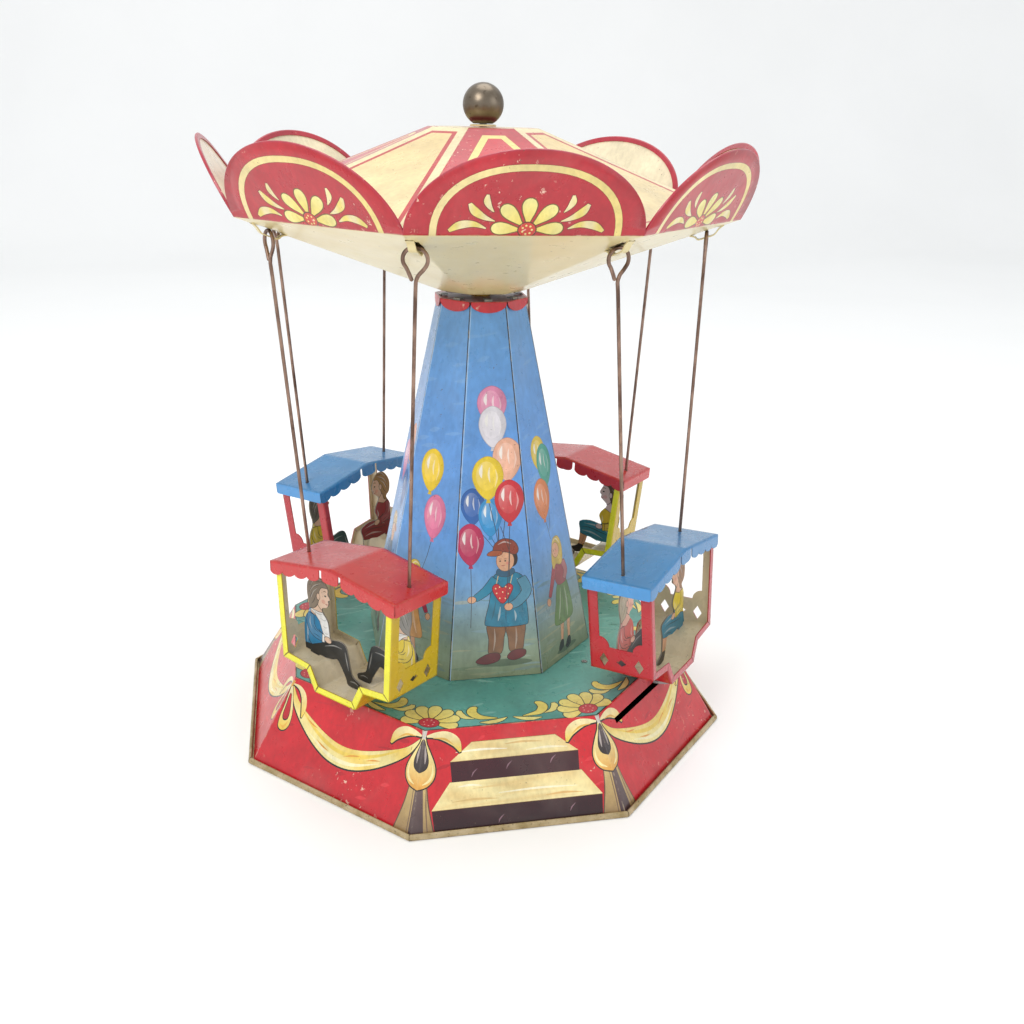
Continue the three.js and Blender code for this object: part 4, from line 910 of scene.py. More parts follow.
def face_marks(p, x, s, size, way):
    """Two eyes, brows and a small calm mouth; way is -1 for a face turned to the left."""
    middle, lips = x + way * 0.3 * size, x + way * 0.28 * size
    for e in (-0.34, 0.3):
        p.add(oval(middle + e * size, s + 0.1 * size, 0.12 * size, 0.1 * size, steps=8), INK)
        p.line([(middle + (e - 0.17) * size, s + 0.34 * size), (middle + (e + 0.17) * size, s + 0.38 * size)],
               0.06 * size, BROWN)
    mouth = s - 0.5 * size
    p.line([(lips - 0.2 * size, mouth), (lips + 0.2 * size, mouth)], 0.08 * size, rgb("a8463f"))
    p.add(oval(x - way * 0.3 * size, s - 0.2 * size, 0.24 * size, 0.18 * size, steps=10), rgb("e0907a"))


def boy(p, way=1, dx=0.0, cap="8a3a26", coat="1f7f9e"):
    """A child in a cap and coat who holds balloons, with a heart-shaped box on a neck strap."""
    legs, shoes = "8a5f3c", "6d2126"

    def at(points):
        return [(way * x + dx, s) for x, s in points]

    def body(points, code):
        tone = rgb(code)
        p.lined(at(through(points, steps=4)),
                lambda t, s: mixed(tone, INK, 0.1 + 0.12 * math.sin(t * 0.9 + s * 0.7)), INK, 0.26)

    p.add(at(oval(4, 6.6, 13, 1.7)), rgb("5e7058"))
    body([(-3.4, 25), (4.8, 24.8), (4, 19), (2.6, 11.4), (-3, 11), (-3, 18)], legs)
    body([(5.2, 24.8), (13.4, 25), (13.2, 17), (12, 11.8), (6.8, 12), (6, 18)], legs)
    for points in ([(-0.4, 23), (-0.2, 18), (-1, 12.6)], [(9.6, 23), (9.8, 18), (9.2, 13)]):
        p.stroke(at(points), [0.2, 0.8, 0.2], mixed(rgb(legs), WHITE, 0.25))
    body([(-9.2, 7.6), (-6.4, 10), (-2.2, 11.4), (1.6, 11), (1.4, 8), (-4, 6.4)], shoes)
    body([(5.4, 9), (7.4, 11.6), (10.4, 12.4), (13.8, 12), (13.4, 9.4), (8.6, 7.6)], shoes)
    body([(1.6, 48.6), (8.8, 48.8), (13.4, 46), (14.2, 38), (15.4, 26), (13.2, 24), (5, 23.6), (-3, 24.4),
          (-4.6, 26.4), (-2.2, 36), (-1, 45)], coat)
    for points in ([(5.4, 33), (5, 29), (5.2, 25)], [(11.6, 44), (12.6, 38), (12.8, 31)],
                   [(0.6, 36), (-0.4, 31), (-1.6, 27)]):
        p.stroke(at(points), [0.2, 0.7, 0.2], mixed(rgb(coat), INK, 0.45))
    for points in ([(2.6, 33), (2, 29), (1.4, 26.4)], [(9, 31), (9.6, 28.6), (9.4, 26)],
                   [(10.4, 46), (12, 43), (12.4, 40)]):
        p.stroke(at(points), [0.2, 0.9, 0.2], mixed(rgb(coat), WHITE, 0.4))
    p.lined(at(ribbon([(0.6, 46), (-3.6, 41), (-8.8, 37.4)], [4.2, 4, 3])), rgb(coat), INK, 0.26)
    p.lined(at(oval(-10.4, 37, 1.9, 1.5)), SKIN, INK, 0.2)
    p.lined(at(ribbon([(12.4, 46), (14.8, 40), (11, 35), (7.6, 33.4)], [4.2, 4.4, 3.8, 3])),
            mixed(rgb(coat), WHITE, 0.08), INK, 0.26)
    p.lined(at(oval(6.4, 32.8, 1.9, 1.7)), SKIN, INK, 0.2)
    p.line(at([(2, 48), (0.8, 43)]), 0.4, rgb("c9b183"))
    p.line(at([(8.6, 48.4), (7.2, 43)]), 0.4, rgb("c9b183"))
    heart = at(through([(3.7, 34.6), (7, 38.4), (8.4, 42), (6.4, 43.6), (3.9, 41.6), (1.2, 43.6), (-0.8, 42),
                        (0.4, 38.4)], steps=4))
    p.lined(heart, rgb("c22a30"), rgb("5a1418"), 0.3)
    for x, s in ((0.6, 41.6), (2.4, 42.2), (5.2, 42.2), (7, 41.4), (6.4, 38.9), (5, 36.8), (2.4, 37),
                 (1, 39.4), (3.8, 39.8)):
        p.add(at(oval(x, s, 0.34, 0.34, steps=6)), PALE)
    scarf = through([(1.4, 48), (5.2, 46.8), (9, 48.2), (8.8, 50.4), (5.2, 49.6), (1.8, 50.4)])
    p.lined(at(scarf), rgb("2f5d78"), INK, 0.2)
    p.add(at(oval(8.2, 55, 2.8, 3.8)), rgb("33241d"))
    p.lined(at(oval(5.2, 54.2, 4, 4.7)), SKIN, BROWN, 0.2)
    face_marks(p, way * 5.2 + dx, 53.8, 3.6, -way)
    crown = through([(0.2, 57.6), (0.4, 61.6), (4.2, 64.2), (9, 63.2), (11.2, 59.6), (9.8, 57), (5, 58.4)])
    p.lined(at(crown), rgb(cap), INK, 0.26)
    peak = through([(-3, 57.2), (-0.6, 59), (3.6, 58.6), (3.4, 57.2), (0.6, 56.6)])
    p.lined(at(peak), rgb("a8552f"), INK, 0.22)
    p.stroke(at([(2, 61.8), (5, 62.9), (8, 61.9)]), [0.2, 0.7, 0.2], mixed(rgb(cap), WHITE, 0.35))


def girl(p, way=1, dx=0.0, hair="d8b84a", top="a53a44", skirt="5f8a3e", size=1.0):
    """A child with long hair, a jersey and a skirt."""
    def at(points):
        return [(way * x * size + dx, 4 + (s - 4) * size) for x, s in points]

    def body(points, code):
        tone = rgb(code)
        p.lined(at(through(points, steps=4)),
                lambda t, s: mixed(tone, INK, 0.1 + 0.14 * math.sin(t * 1.1 + s * 0.5)),
                mixed(tone, INK, 0.7), 0.22)

    p.add(at(oval(1.6, 3.6, 8.6, 1.4)), rgb("5e7058"))
    p.lined(at(ribbon([(1, 18), (-0.4, 12), (-1.8, 6.6)], [2.6, 2.2, 1.5])), SKIN, BROWN, 0.18)
    p.lined(at(ribbon([(6.4, 18), (5.4, 12), (4.4, 6)], [2.6, 2.2, 1.5])), SKIN, BROWN, 0.18)
    body([(-4.6, 4), (-1, 5), (-0.4, 8), (-2.2, 8.2), (-4.4, 6)], "2c2a2c")
    body([(1.4, 3.4), (5.2, 4.2), (5.8, 7.4), (4, 7.8), (1.8, 5.4)], "2c2a2c")
    body([(1.2, 36), (8.2, 36.4), (10.6, 27), (10.8, 18), (5, 16.4), (-1, 16.2), (-5.4, 18), (-2.4, 27)],
         skirt)
    for points in ([(3, 33), (1, 25), (-1.6, 18.6)], [(6.4, 33), (6.8, 25), (6, 18)]):
        p.stroke(at(points), [0.2, 1.1, 0.3], mixed(rgb(skirt), WHITE, 0.3))
    p.stroke(at([(5, 33), (4.4, 25), (3, 18)]), [0.2, 0.9, 0.3], mixed(rgb(skirt), INK, 0.4))
    body([(0.6, 47), (5.6, 47.6), (9, 44), (9, 36), (4.6, 34.6), (0.8, 36), (-0.6, 42)], top)
    p.lined(at(ribbon([(1, 45.4), (-2.4, 38.6), (-6.4, 31.6)], [3.6, 3, 2.2])), rgb(top), INK, 0.2)
    p.lined(at(oval(-7.6, 29.6, 1.5, 1.8)), SKIN, BROWN, 0.2)
    near_arm = ribbon([(7.8, 45), (9.4, 40), (7.4, 36.4)], [3.2, 3, 2.2])
    p.lined(at(near_arm), mixed(rgb(top), WHITE, 0.12), INK, 0.2)
    body([(1.2, 55.6), (3.4, 58), (6.8, 57.4), (8.6, 53), (8.2, 46.4), (5.8, 44), (2.4, 45.4), (-0.2, 43.6),
          (-0.8, 48)], hair)
    p.lined(at(oval(3.2, 51.8, 2.8, 3.5)), SKIN, BROWN, 0.2)
    face_marks(p, way * 3.2 * size + dx, 4 + 47.6 * size, 2.6 * size, -way)
    p.stroke(at([(1.6, 56), (4.6, 57), (7.2, 54)]), [0.2, 0.8, 0.3], mixed(rgb(hair), WHITE, 0.45))


# The tower sides that the photograph doesn't show, by number: the colours of a side's balloons from the
# highest down, and its child's way, shift and colours.
BACK_BALLOONS = {2: ("3d86c6", "d9414a", "efcf2e"), 3: ("e58fb4", "efcf2e", "2f93d0"),
                 4: ("cf2531", "3fa08c", "e27f3c"), 5: ("efcf2e", "bf2559", "e6e2ea"),
                 6: ("e27f3c", "e58fb4", "2a62ad")}
BACK_GIRLS = {3: (1, 0, "7a4a2c", "d0a02e", "39679c"), 5: (-1, 0, "c9973f", "4a8f86", "b3434c")}
BACK_BOYS = {2: (-1, 4, "2f5d88", "4f7d3f"), 4: (1, 0, "7d2a2e", "b0782c"), 6: (-1, 4, "b98f2e", "2f6fa6")}


def tower_print(number):
    """Sky over a misty meadow in loose brush strokes, with balloons and one child on each side."""
    p = Print(sky)
    p.guides += [[(-40, s), (40, s)] for s, _ in SKY[1:-1]]
    rng = random.Random(40 + number)
    for _ in range(26):
        s = 2 + 40 * rng.random() ** 1.5
        t = rng.uniform(-20, 20)
        length = rng.uniform(6, 17)
        tone = rgb(rng.choice(["a8a886", "8fa58f", "6f8a96", "a9b4ae", "c2bb92", "5f7a5e", "8eaec0"]))
        bend, width = rng.uniform(-0.5, 0.5), rng.uniform(0.7, 1.9)
        p.dash(t, s, length, (0, bend, 0), width, mixed(sky(0, s), tone, 0.45))
    for _ in range(12):
        s, t, length = rng.uniform(60, 155), rng.uniform(-12, 12), rng.uniform(5, 12)
        p.dash(t, s, length, (-1, 0, 1), rng.uniform(1, 2.4), mixed(sky(0, s), rgb("86b2e0"), 0.35), tip=0.3)
    if number == 0:
        hand = (3.2, 56)
        balloon(p, 0.6, 124, 6.4, 8.4, "e58fb4", (2.4, 60))
        balloon(p, 0.7, 114.6, 6, 9, "e6e2ea", (2.6, 60))
        balloon(p, 7, 100, 6.4, 9.6, "f0b598", hand)
        balloon(p, -9, 79.6, 5.2, 8, "2a62ad", hand)
        balloon(p, -1.2, 74.4, 5.2, 8.6, "2f93d0", hand)
        balloon(p, -1.9, 92, 6.9, 9.6, "efcf2e", hand)
        boy(p)
        p.line([(3.4, 70), (7.4, 58), (6.4, 34)], 0.26, rgb("3a2f2c"))
        balloon(p, 7.6, 81.2, 6.5, 9.6, "cf2531", (5.4, 36))
        balloon(p, -10.5, 62.4, 6.1, 9.4, "bf2559", (-11.2, 24))
    elif number == 7:
        balloon(p, -2, 93, 6, 9.6, "f2cf1e")
        balloon(p, 2.3, 72.4, 5.8, 10, "ea7fa6", (-1.6, 46))
        girl(p, -1, -1.5, "e6c73e", "b01c44", "e2a463", 0.86)
    elif number == 1:
        balloon(p, 0.3, 99, 5.4, 8, "e2c23a")
        balloon(p, 3.8, 93, 5.5, 9.6, "3fa08c", (1.2, 62))
        balloon(p, -1.6, 78, 6.2, 9.5, "e27f3c", (0.6, 58))
        girl(p)
    else:
        high, middle, low = BACK_BALLOONS[number]
        balloon(p, 4.4, 101, 5.8, 9, high, (1.6, 60))
        balloon(p, -4.6, 90, 6, 9.4, middle, (0.6, 60))
        balloon(p, 5.6, 79, 5.8, 9, low, (2, 58))
        if number in BACK_GIRLS:
            girl(p, *BACK_GIRLS[number])
        else:
            boy(p, *BACK_BOYS[number])
    return p


# ---------- stand ----------
def base_cover():
    """The skirt and deck, with the lever's slot, the key's hole and the tower's opening."""
    sheet = Sheet()
    faces = [Side(45 * k, SKIRT_FOOT, DECK) for k in range(SIDES)]
    for k, face in enumerate(faces):
        holes = []
        if k == 1:
            holes = [LEVER_SLOT]
        if k == 4:
            foot = face.flat((0, face.origin.y + (KEY_Z - SKIRT_FOOT[1]) * face.up.y / face.up.z, KEY_Z))
            holes = [oval(foot[0], foot[1], KEY_HOLE_R, KEY_HOLE_R / face.up.z)]
        folds = side_folds(face, None, UP, faces[k - 1].normal, faces[(k + 1) % SIDES].normal)
        lay(sheet, face, face.outline(), skirt_print(face, k), holes, folds, back=TAN, edge=rgb("5a4038"))
    deck = Panel((0, 0, DECK[1]), (1, 0, 0), (0, 1, 0))
    corners = octagon(DECK[0])
    pivot = LEVER_R * math.sin(math.radians(45))
    holes = [octagon(DECK_OPENING), oval(pivot, -pivot, LEVER_HOLE_R, LEVER_HOLE_R, steps=14)]
    lay(sheet, deck, corners, deck_print(), holes, level_folds(corners, faces), back=TAN)
    sheet.place("base_cover_print", LITHO, "stand", "base_cover", "base_paint")


def base_plate():
    """The flat base with its edge crimped up round the skirt; each side's crimp ends at a mitre."""
    sheet = Sheet()
    tone = (0.4, 0.33, 0.2)
    outer = RIM_R
    under = Panel((0, 0, 0), (1, 0, 0), (0, -1, 0))
    lay(sheet, under, octagon(outer - 0.5), Print(tone), back=tone, thick=0.8)
    profile = [(-0.7, 0.0), (-0.25, 0.1), (0, 0.45), (-0.05, 1.1), (-0.25, 1.8), (-0.6, 2.35), (-1.05, 2.6),
               (-1.5, 2.5), (-1.8, 2.1), (-1.9, 1.3)]
    for k in range(SIDES):
        along, outward = directions(45 * k)
        for (r0, z0), (r1, z1) in zip(profile, profile[1:]):
            normal = (outward * (z1 - z0) - UP * (r1 - r0)).normalized()
            places = []
            for r, z, side in ((r0, z0, -1), (r0, z0, 1), (r1, z1, 1), (r1, z1, -1)):
                reach = (outer + r) * PER_HALF_SIDE - (0.16 if z > 0.2 else 0)
                places.append(outward * ((outer + r) * PER_APOTHEM) + along * side * reach + UP * z)
            sheet.face(places, [tone] * 4, [normal] * 4)
        for step in range(9):
            share = (step + 0.5) / 9 * 2 - 1
            nick = outward * (outer * PER_APOTHEM - 0.1) + along * share * 43 + UP * 1.4
            low, high = nick - UP * 0.9, nick + UP * 0.7 - outward * 0.2
            sheet.face([low - along * 0.12, low + along * 0.12, high + along * 0.2, high - along * 0.05],
                       [tone] * 4, [outward] * 4)
    sheet.place("base_rim", RIM_TIN, "stand", "base_plate", "rim_brass")
    seam = lathe([(outer - 1.0, 0.1), (outer - 0.55, 0.5), (outer - 0.75, 1.8), (outer - 1.5, 2.3)], SIDES,
                 math.radians(22.5))
    seam.place("base_rim_seam", RIM_TIN, "stand")


def tower():
    """The tower's eight printed sides, with the tab at the head of each bent in over the collar."""
    sheet = Sheet()
    faces = [Side(45 * k, TOWER_FOOT, TOWER_HEAD) for k in range(SIDES)]
    for k, face in enumerate(faces):
        p = tower_print(k)
        # Along each fold: a dark seam line printed on one side, and on the other a thin pale blue line that
        # is a painted highlight.
        for sign in (-1, 1):
            line = [(sign * (face.half(s) - 0.3), s) for s in (-1, face.length + 1)]
            p.line(line, 0.5 if sign > 0 else 0.3, rgb("20262c") if sign > 0 else rgb("a9cdf0"))
        folds = side_folds(face, None, None, faces[k - 1].normal, faces[(k + 1) % SIDES].normal)
        lay(sheet, face, face.outline(), p, folds=folds, back=rgb("8d8a84"))
        along, outward = directions(45 * k)
        edge = TOWER_HEAD[0] * PER_APOTHEM
        path = [(edge - 0.3, TOWER_HEAD[1] - 0.5), (edge - 0.3, TAB_TOP - 0.4), (edge - 0.6, TAB_TOP - 0.05),
                (edge - 1.1, TAB_TOP), (edge - 3.6, TAB_TOP)]
        bent_strip(sheet, path, outward, along, TAB_HALF_WIDTH, TAB_THICK, (*rgb("a9a6a0"), 0.4),
                   (*rgb("8e8b86"), 0.4))
    sheet.place("tower_print", LITHO, "stand", "tower_shell", "tower_paint")


def collar():
    """The red plate on the tower's head: a slot for each tab, and a rounded lobe down each side."""
    sheet = Sheet()
    top = Panel((0, 0, COLLAR[1]), (1, 0, 0), (0, 1, 0))
    corners = octagon(COLLAR[0])
    sides = [Side(45 * k, (COLLAR[0] + 0.38, COLLAR[1] - COLLAR_LOBE), COLLAR) for k in range(SIDES)]
    slots = []
    for k in range(SIDES):
        a = math.radians(45 * k)
        edge = TOWER_HEAD[0] * PER_APOTHEM
        slots.append([(math.cos(a) * w + math.sin(a) * r, math.sin(a) * w - math.cos(a) * r)
                      for w, r in ((-2, edge - 1), (2, edge - 1), (2, edge + 0.2), (-2, edge + 0.2))])
    grey = rgb("c4787e")
    lay(sheet, top, corners, Print(grey), [oval(0, 0, 4.6, 4.6), *slots], level_folds(corners, sides),
        back=grey, edge=DEEP_RED)
    for face in sides:
        half = COLLAR[0] * PER_HALF_SIDE - 0.35
        lip = face.length
        arc = [(half * math.cos(math.radians(a)), lip - 0.7 + (COLLAR_LOBE - 0.5) * math.sin(math.radians(a)))
               for a in range(-180, 1, 9)]
        outline = [(-half, lip), *arc, (half, lip)]
        p = Print(lambda t, s: mixed(RED, DEEP_RED, 0.2 - s * 0.1))
        lay(sheet, face, outline, p, folds=[((-half, lip), (half, lip), UP)], back=DEEP_RED,
            edge=rgb("8a1a20"), band=0.5)
    sheet.place("collar_lobes", LITHO, "stand", "tower_collar", "red_paint")


# ---------- canopy ----------
def rounded_half(rx, ry, power, steps=30):
    """A half oval that stands on the line s = 0; power 2 is an ellipse, more is squarer."""
    loop = []
    for i in range(steps + 1):
        a = math.pi * i / steps
        c, s = math.cos(a), math.sin(a)
        loop.append((rx * math.copysign(abs(c) ** (2 / power), c), ry * abs(s) ** (2 / power)))
    return loop


def scallop_print():
    """A cream arch over a flower with leaves."""
    p = Print(lambda t, s: mixed(SCALLOP_RED, DEEP_RED, 0.25 + 0.5 * abs(t) / 60))
    line, leaf_line = rgb("6e5324"), rgb("7d2a24")
    outer, inner = rounded_half(33.5, 27.3, 2.3), rounded_half(31.1, 24.9, 2.3)
    band = [(x, y - 0.6 if y < 0.1 else y) for x, y in outer + inner[::-1]]
    p.lined(band, lambda t, s: mixed(rgb("f5e0a0"), rgb("f1da86"), 0.5 + t / 60), rgb("8e3a2e"), 0.18)
    for at, widths in (
            ([(14.2, 2.9), (18.6, 4.6), (23.2, 4.2), (26.8, 1.9)], [0.4, 2.2, 3, 1.2]),
            ([(11.4, 5.8), (15, 7.2), (18.4, 9.6), (20.3, 12.6)], [0.3, 1.9, 2.9, 1.2]),
            ([(12, 9.4), (13.6, 11.4), (14.6, 13.6), (14.5, 16)], [0.3, 1.6, 2.3, 0.9])):
        for sign in (-1, 1):
            loop = ribbon([(sign * x, y) for x, y in at], widths)
            p.lined(loop, lambda t, s: mixed(PALE, rgb("f0da62"), 0.4 + 0.5 * math.sin(abs(t) * 0.8)),
                    leaf_line, 0.3)
    for angle, length, width in ((4, 12.4, 4.7), (176, 12.4, 4.7), (46, 13.2, 4.8), (134, 13.2, 4.8),
                                 (90, 12.4, 5)):
        petal(p, 0, 2.3, angle, length, width, rgb("ecd052"), rgb("f7ec98"), line)
    p.lined(oval(0, 2.4, 3, 2.9), rgb("cf3f2e"), rgb("54301c"), 0.4)
    p.seeds(0, 2.4, 1.7, 0.42, rgb("f0dc8c"))
    return p


def pan():
    """The dish under the roof, with its eight upturned scallops and the strap under each ridge."""
    turns = [45 * k + CANOPY_TURN for k in range(SIDES)]
    unders = [Side(t, PAN, FOLD) for t in turns]
    scallops = [Side(t, FOLD, SCALLOP_TIP) for t in turns]
    dish(turns, unders, scallops)
    rims = Sheet()
    for face, under in zip(scallops, unders):
        half, rise = FOLD[0] * PER_HALF_SIDE, face.length
        arc = rounded_half(half, rise, 2, HEM_STEPS)
        lay(rims, face, arc, scallop_print(), folds=[(arc[-1], arc[0], under.normal)],
            back=rgb("efe5c6"), edge=HEM_RED, band=1.0)
        hem(rims, face, half, rise)
    rims.place("scallop_print", LITHO, "canopy", None, "red_paint")
    straps = Sheet()
    slope = (FOLD[1] - PAN[1]) / (FOLD[0] - PAN[0])
    path = [(r, PAN[1] + (r - PAN[0]) * slope - depth) for r, depth in through(STRAP, closed=False, steps=4)]
    for turn in turns:
        across, ridge = directions(turn + 22.5)
        bent_strip(straps, path, ridge, across, STRAP_HALF_WIDTH, STRAP_THICK, ENAMEL, ENAMEL)
    straps.place("pan_straps", CANOPY_ENAMEL, "canopy", None, "cream_paint")


def dish(turns, unders, scallops):
    """The eight sloping sides of the pan, with half a strap's hole in each of a side's outer corners."""
    sheet = Sheet()
    inner = rgb("d9cc9c")
    for k, face in enumerate(unders):
        notches = []
        for sign in (1, -1):
            corner = math.radians(turns[k] - 90 + sign * 22.5)
            ridge = Vector((math.cos(corner), math.sin(corner), 0))
            across = Vector((-ridge.y, ridge.x, 0)) * -sign
            notch = []
            for radial, lateral in PAN_NOTCH:
                flat_place = ridge * radial + across * lateral
                rise = (face.origin - flat_place).dot(face.normal) / face.normal.z
                notch.append(face.flat(flat_place + UP * rise))
            notches.append(notch)
        corners = face.outline()
        outline = [corners[0], corners[1], *notches[0], corners[2], corners[3], *notches[1][::-1]]
        last, following = unders[k - 1].normal, unders[(k + 1) % SIDES].normal
        folds = side_folds(face, None, scallops[k].normal, last, following)
        lay(sheet, face, outline, Print(ENAMEL), folds=folds, back=inner, edge=inner, band=1.4)
    sheet.place("pan_enamel", CANOPY_ENAMEL, "canopy", "canopy_pan", "cream_paint")


def hem(sheet, face, half, rise):
    """The scallop's edge, folded over to its inner side."""
    width = 2.3
    arc = [(math.cos(math.pi * i / HEM_STEPS), math.sin(math.pi * i / HEM_STEPS))
           for i in range(HEM_STEPS + 1)]
    rows = [(0.0, 0.0), (0.3, -0.3), (0.26, -0.85), (-0.3, -1.1), (-width, -0.95), (-width, -TIN)]
    for (i, (c0, s0)), (c1, s1) in zip(enumerate(arc), arc[1:]):
        for (d0, n0), (d1, n1) in zip(rows, rows[1:]):
            places, normals = [], []
            for c, s, d, n in ((c0, s0, d0, n0), (c1, s1, d0, n0), (c1, s1, d1, n1), (c0, s0, d1, n1)):
                away = Vector((c / half, s / rise)).normalized()
                t, up = half * c + away.x * d, max(rise * s + away.y * d, 0)
                places.append(face.at(t, up) + face.normal * n)
                turn = Vector((n0 - n1, d1 - d0))
                turn.normalize()
                flat = face.along * away.x + face.up * away.y
                normals.append(flat * turn.x + face.normal * turn.y)
            sheet.face(places, [(*HEM_RED, 0.35)] * 4, normals)


def roof():
    """The roof's eight sides, printed in turn red and cream, and its flat top."""
    sheet = Sheet()
    faces = [Side(45 * k + CANOPY_TURN, ROOF, ROOF_TOP) for k in range(SIDES)]

    def ring(face, inset):
        """The side's outline moved in by a distance."""
        slope = math.hypot(face.length, face.low - face.high) / face.length
        low, high = 3 + inset * 0.4, face.length - inset
        wide, narrow = face.half(low) - inset * slope, face.half(high) - inset * slope
        return [(-wide, low), (wide, low), (narrow, high), (-narrow, high)]

    red, fine = rgb("cb2f38"), rgb("8d5a34")
    for k, face in enumerate(faces):
        if k % 2 == 0:
            p = Print(lambda t, s: mixed(red, rgb("b82a34"), s / 90))
            p.lined(ring(face, 6.8), rgb("f0d684"), fine, 0.15)
            p.lined(ring(face, 9.8), red, fine, 0.15)
        else:
            p = Print(rgb("f0deae"))
            p.add(ring(face, 3.9), rgb("c43a38"))
            p.add(ring(face, 5.9), lambda t, s: mixed(rgb("f3deaa"), rgb("efd292"), s / 80))
        folds = side_folds(face, None, UP, faces[k - 1].normal, faces[(k + 1) % SIDES].normal)
        lay(sheet, face, face.outline(), p, folds=folds, back=rgb("cdbf92"), edge=RED, band=1.2)
    top = Panel((0, 0, ROOF_TOP[1]), (1, 0, 0), (0, 1, 0))
    corners = octagon(ROOF_TOP[0], 22.5 + CANOPY_TURN)
    folds = level_folds(corners, faces, CANOPY_TURN)
    p = Print(rgb("e9d9a8"))
    p.add(octagon(ROOF_TOP[0] - 1.4, 22.5 + CANOPY_TURN), rgb("c5414a"))
    p.add(octagon(ROOF_TOP[0] - 2.8, 22.5 + CANOPY_TURN), rgb("ead9a4"))
    p.add(oval(0, 0, 9.4, 9.4), rgb("c5414a"))
    lay(sheet, top, corners, p, [oval(0, 0, 2.1, 2.1)], folds, back=rgb("cdbf92"), band=1.2)
    sheet.place("roof_print", LITHO, "canopy", "roof_panel", "roof_paint")


def ball():
    """The finial ball on its short neck, and the washer under it."""
    foot = 273.8
    start = math.asin((foot - BALL_Z) / BALL_R)
    profile = [(1.8, foot + 0.3), (1.9, foot)]
    steps = 30
    for i in range(steps + 1):
        a = start + (math.pi / 2 - start) * i / steps
        profile.append((max(BALL_R * math.cos(a), 0.001), BALL_Z + BALL_R * math.sin(a)))
    lathe(profile, 56).place("ball", BRONZE, "canopy", "finial_ball", "ball_bronze")
    low = 272.7
    washer = [(1.8, low), (5.3, low), (5.6, low + 0.15), (5.6, low + 0.55), (5.3, low + 0.8),
              (1.8, low + 0.8),
              (1.8, low)]
    lathe(washer, 40).place("ball_washer", CANOPY_ENAMEL, "canopy", "top_washer", "clock_brass")


# ---------- gondolas: x along the gondola, -Y away from the toy's axis ----------
def eave(x):
    """The height of a gondola's roof at a distance from its ridge."""
    return CABIN_RIDGE_Z - (CABIN_RIDGE_Z - CABIN_EAVE_Z) * abs(x) / CABIN_ROOF_X


def wire(side, number):
    """A wire with its eye round the strap, down to the foot that is bent under the settled roof."""
    arc = []
    for degrees in range(-40, 221, 13):
        a = math.radians(degrees)
        arc.append((LOOP_R * math.cos(a) * (1.12 if degrees > 90 else 1.08), LOOP_R * math.sin(a)))
    neck = [(0, -9), (0.1, -7.6), (0.9, -5.6), (2.5, -3.9)]
    end = [(-2.7, -4.4), (-1.9, -6.2), (-1.5, -7.2)]
    turned = math.pi / SIDES
    eye = [(side * HANG_X + a * math.cos(turned), side * a * math.sin(turned), HOOK_Z - LOOP_R + b)
           for a, b in neck + arc + end]
    head = Vector((side * HANG_X, 0, HOOK_Z - LOOP_R - 7))
    hole = hang(number) @ Vector((side * WIRE_FOOT_X, 0, eave(WIRE_FOOT_X)))
    run = (hole - head).normalized()
    knee = hole + run * 2.55
    inward = hang(number).to_3x3() @ Vector((-side, 0, 0))
    foot = [knee + inward * 4.5, knee + inward * 2.6, knee + inward - run * 0.08,
            knee + inward * 0.15 - run * 0.7, knee - run * 1.8]
    shank = [foot[-1] + (head - foot[-1]) * f for f in (0.02, 0.25, 0.5, 0.75, 0.96)]
    points = [tuple(p) for p in foot + shank]
    return through(points, closed=False, steps=3) + through(eye, closed=False, steps=2)[1:]


def window():
    """The window of an end wall: rounded upper corners, and a round bracket at each end of its sill."""
    half, corner, bracket, top, sill = 10.3, 5, 4.6, 97.2, 67.7
    left = []
    for a in np.radians(range(0, 91, 15)):
        left.append((-half + corner * (1 - math.sin(a)), top - corner * (1 - math.cos(a))))
    for a in np.radians(range(90, -1, -10)):
        left.append((-half + bracket * math.cos(a), sill + bracket * math.sin(a)))
    return left + [(-x, z) for x, z in left[::-1]]


def seat_slot(number, end):
    """The slot for a rider's tab, as places (x, y) of the seat; end is -1 for the left seat."""
    middle = -end * RIDER_Y[number]
    near, far = end * 20.7, end * 26.3
    return [(far, middle - 0.65), (near, middle - 0.65), (near, middle + 0.65), (far, middle + 0.65)]


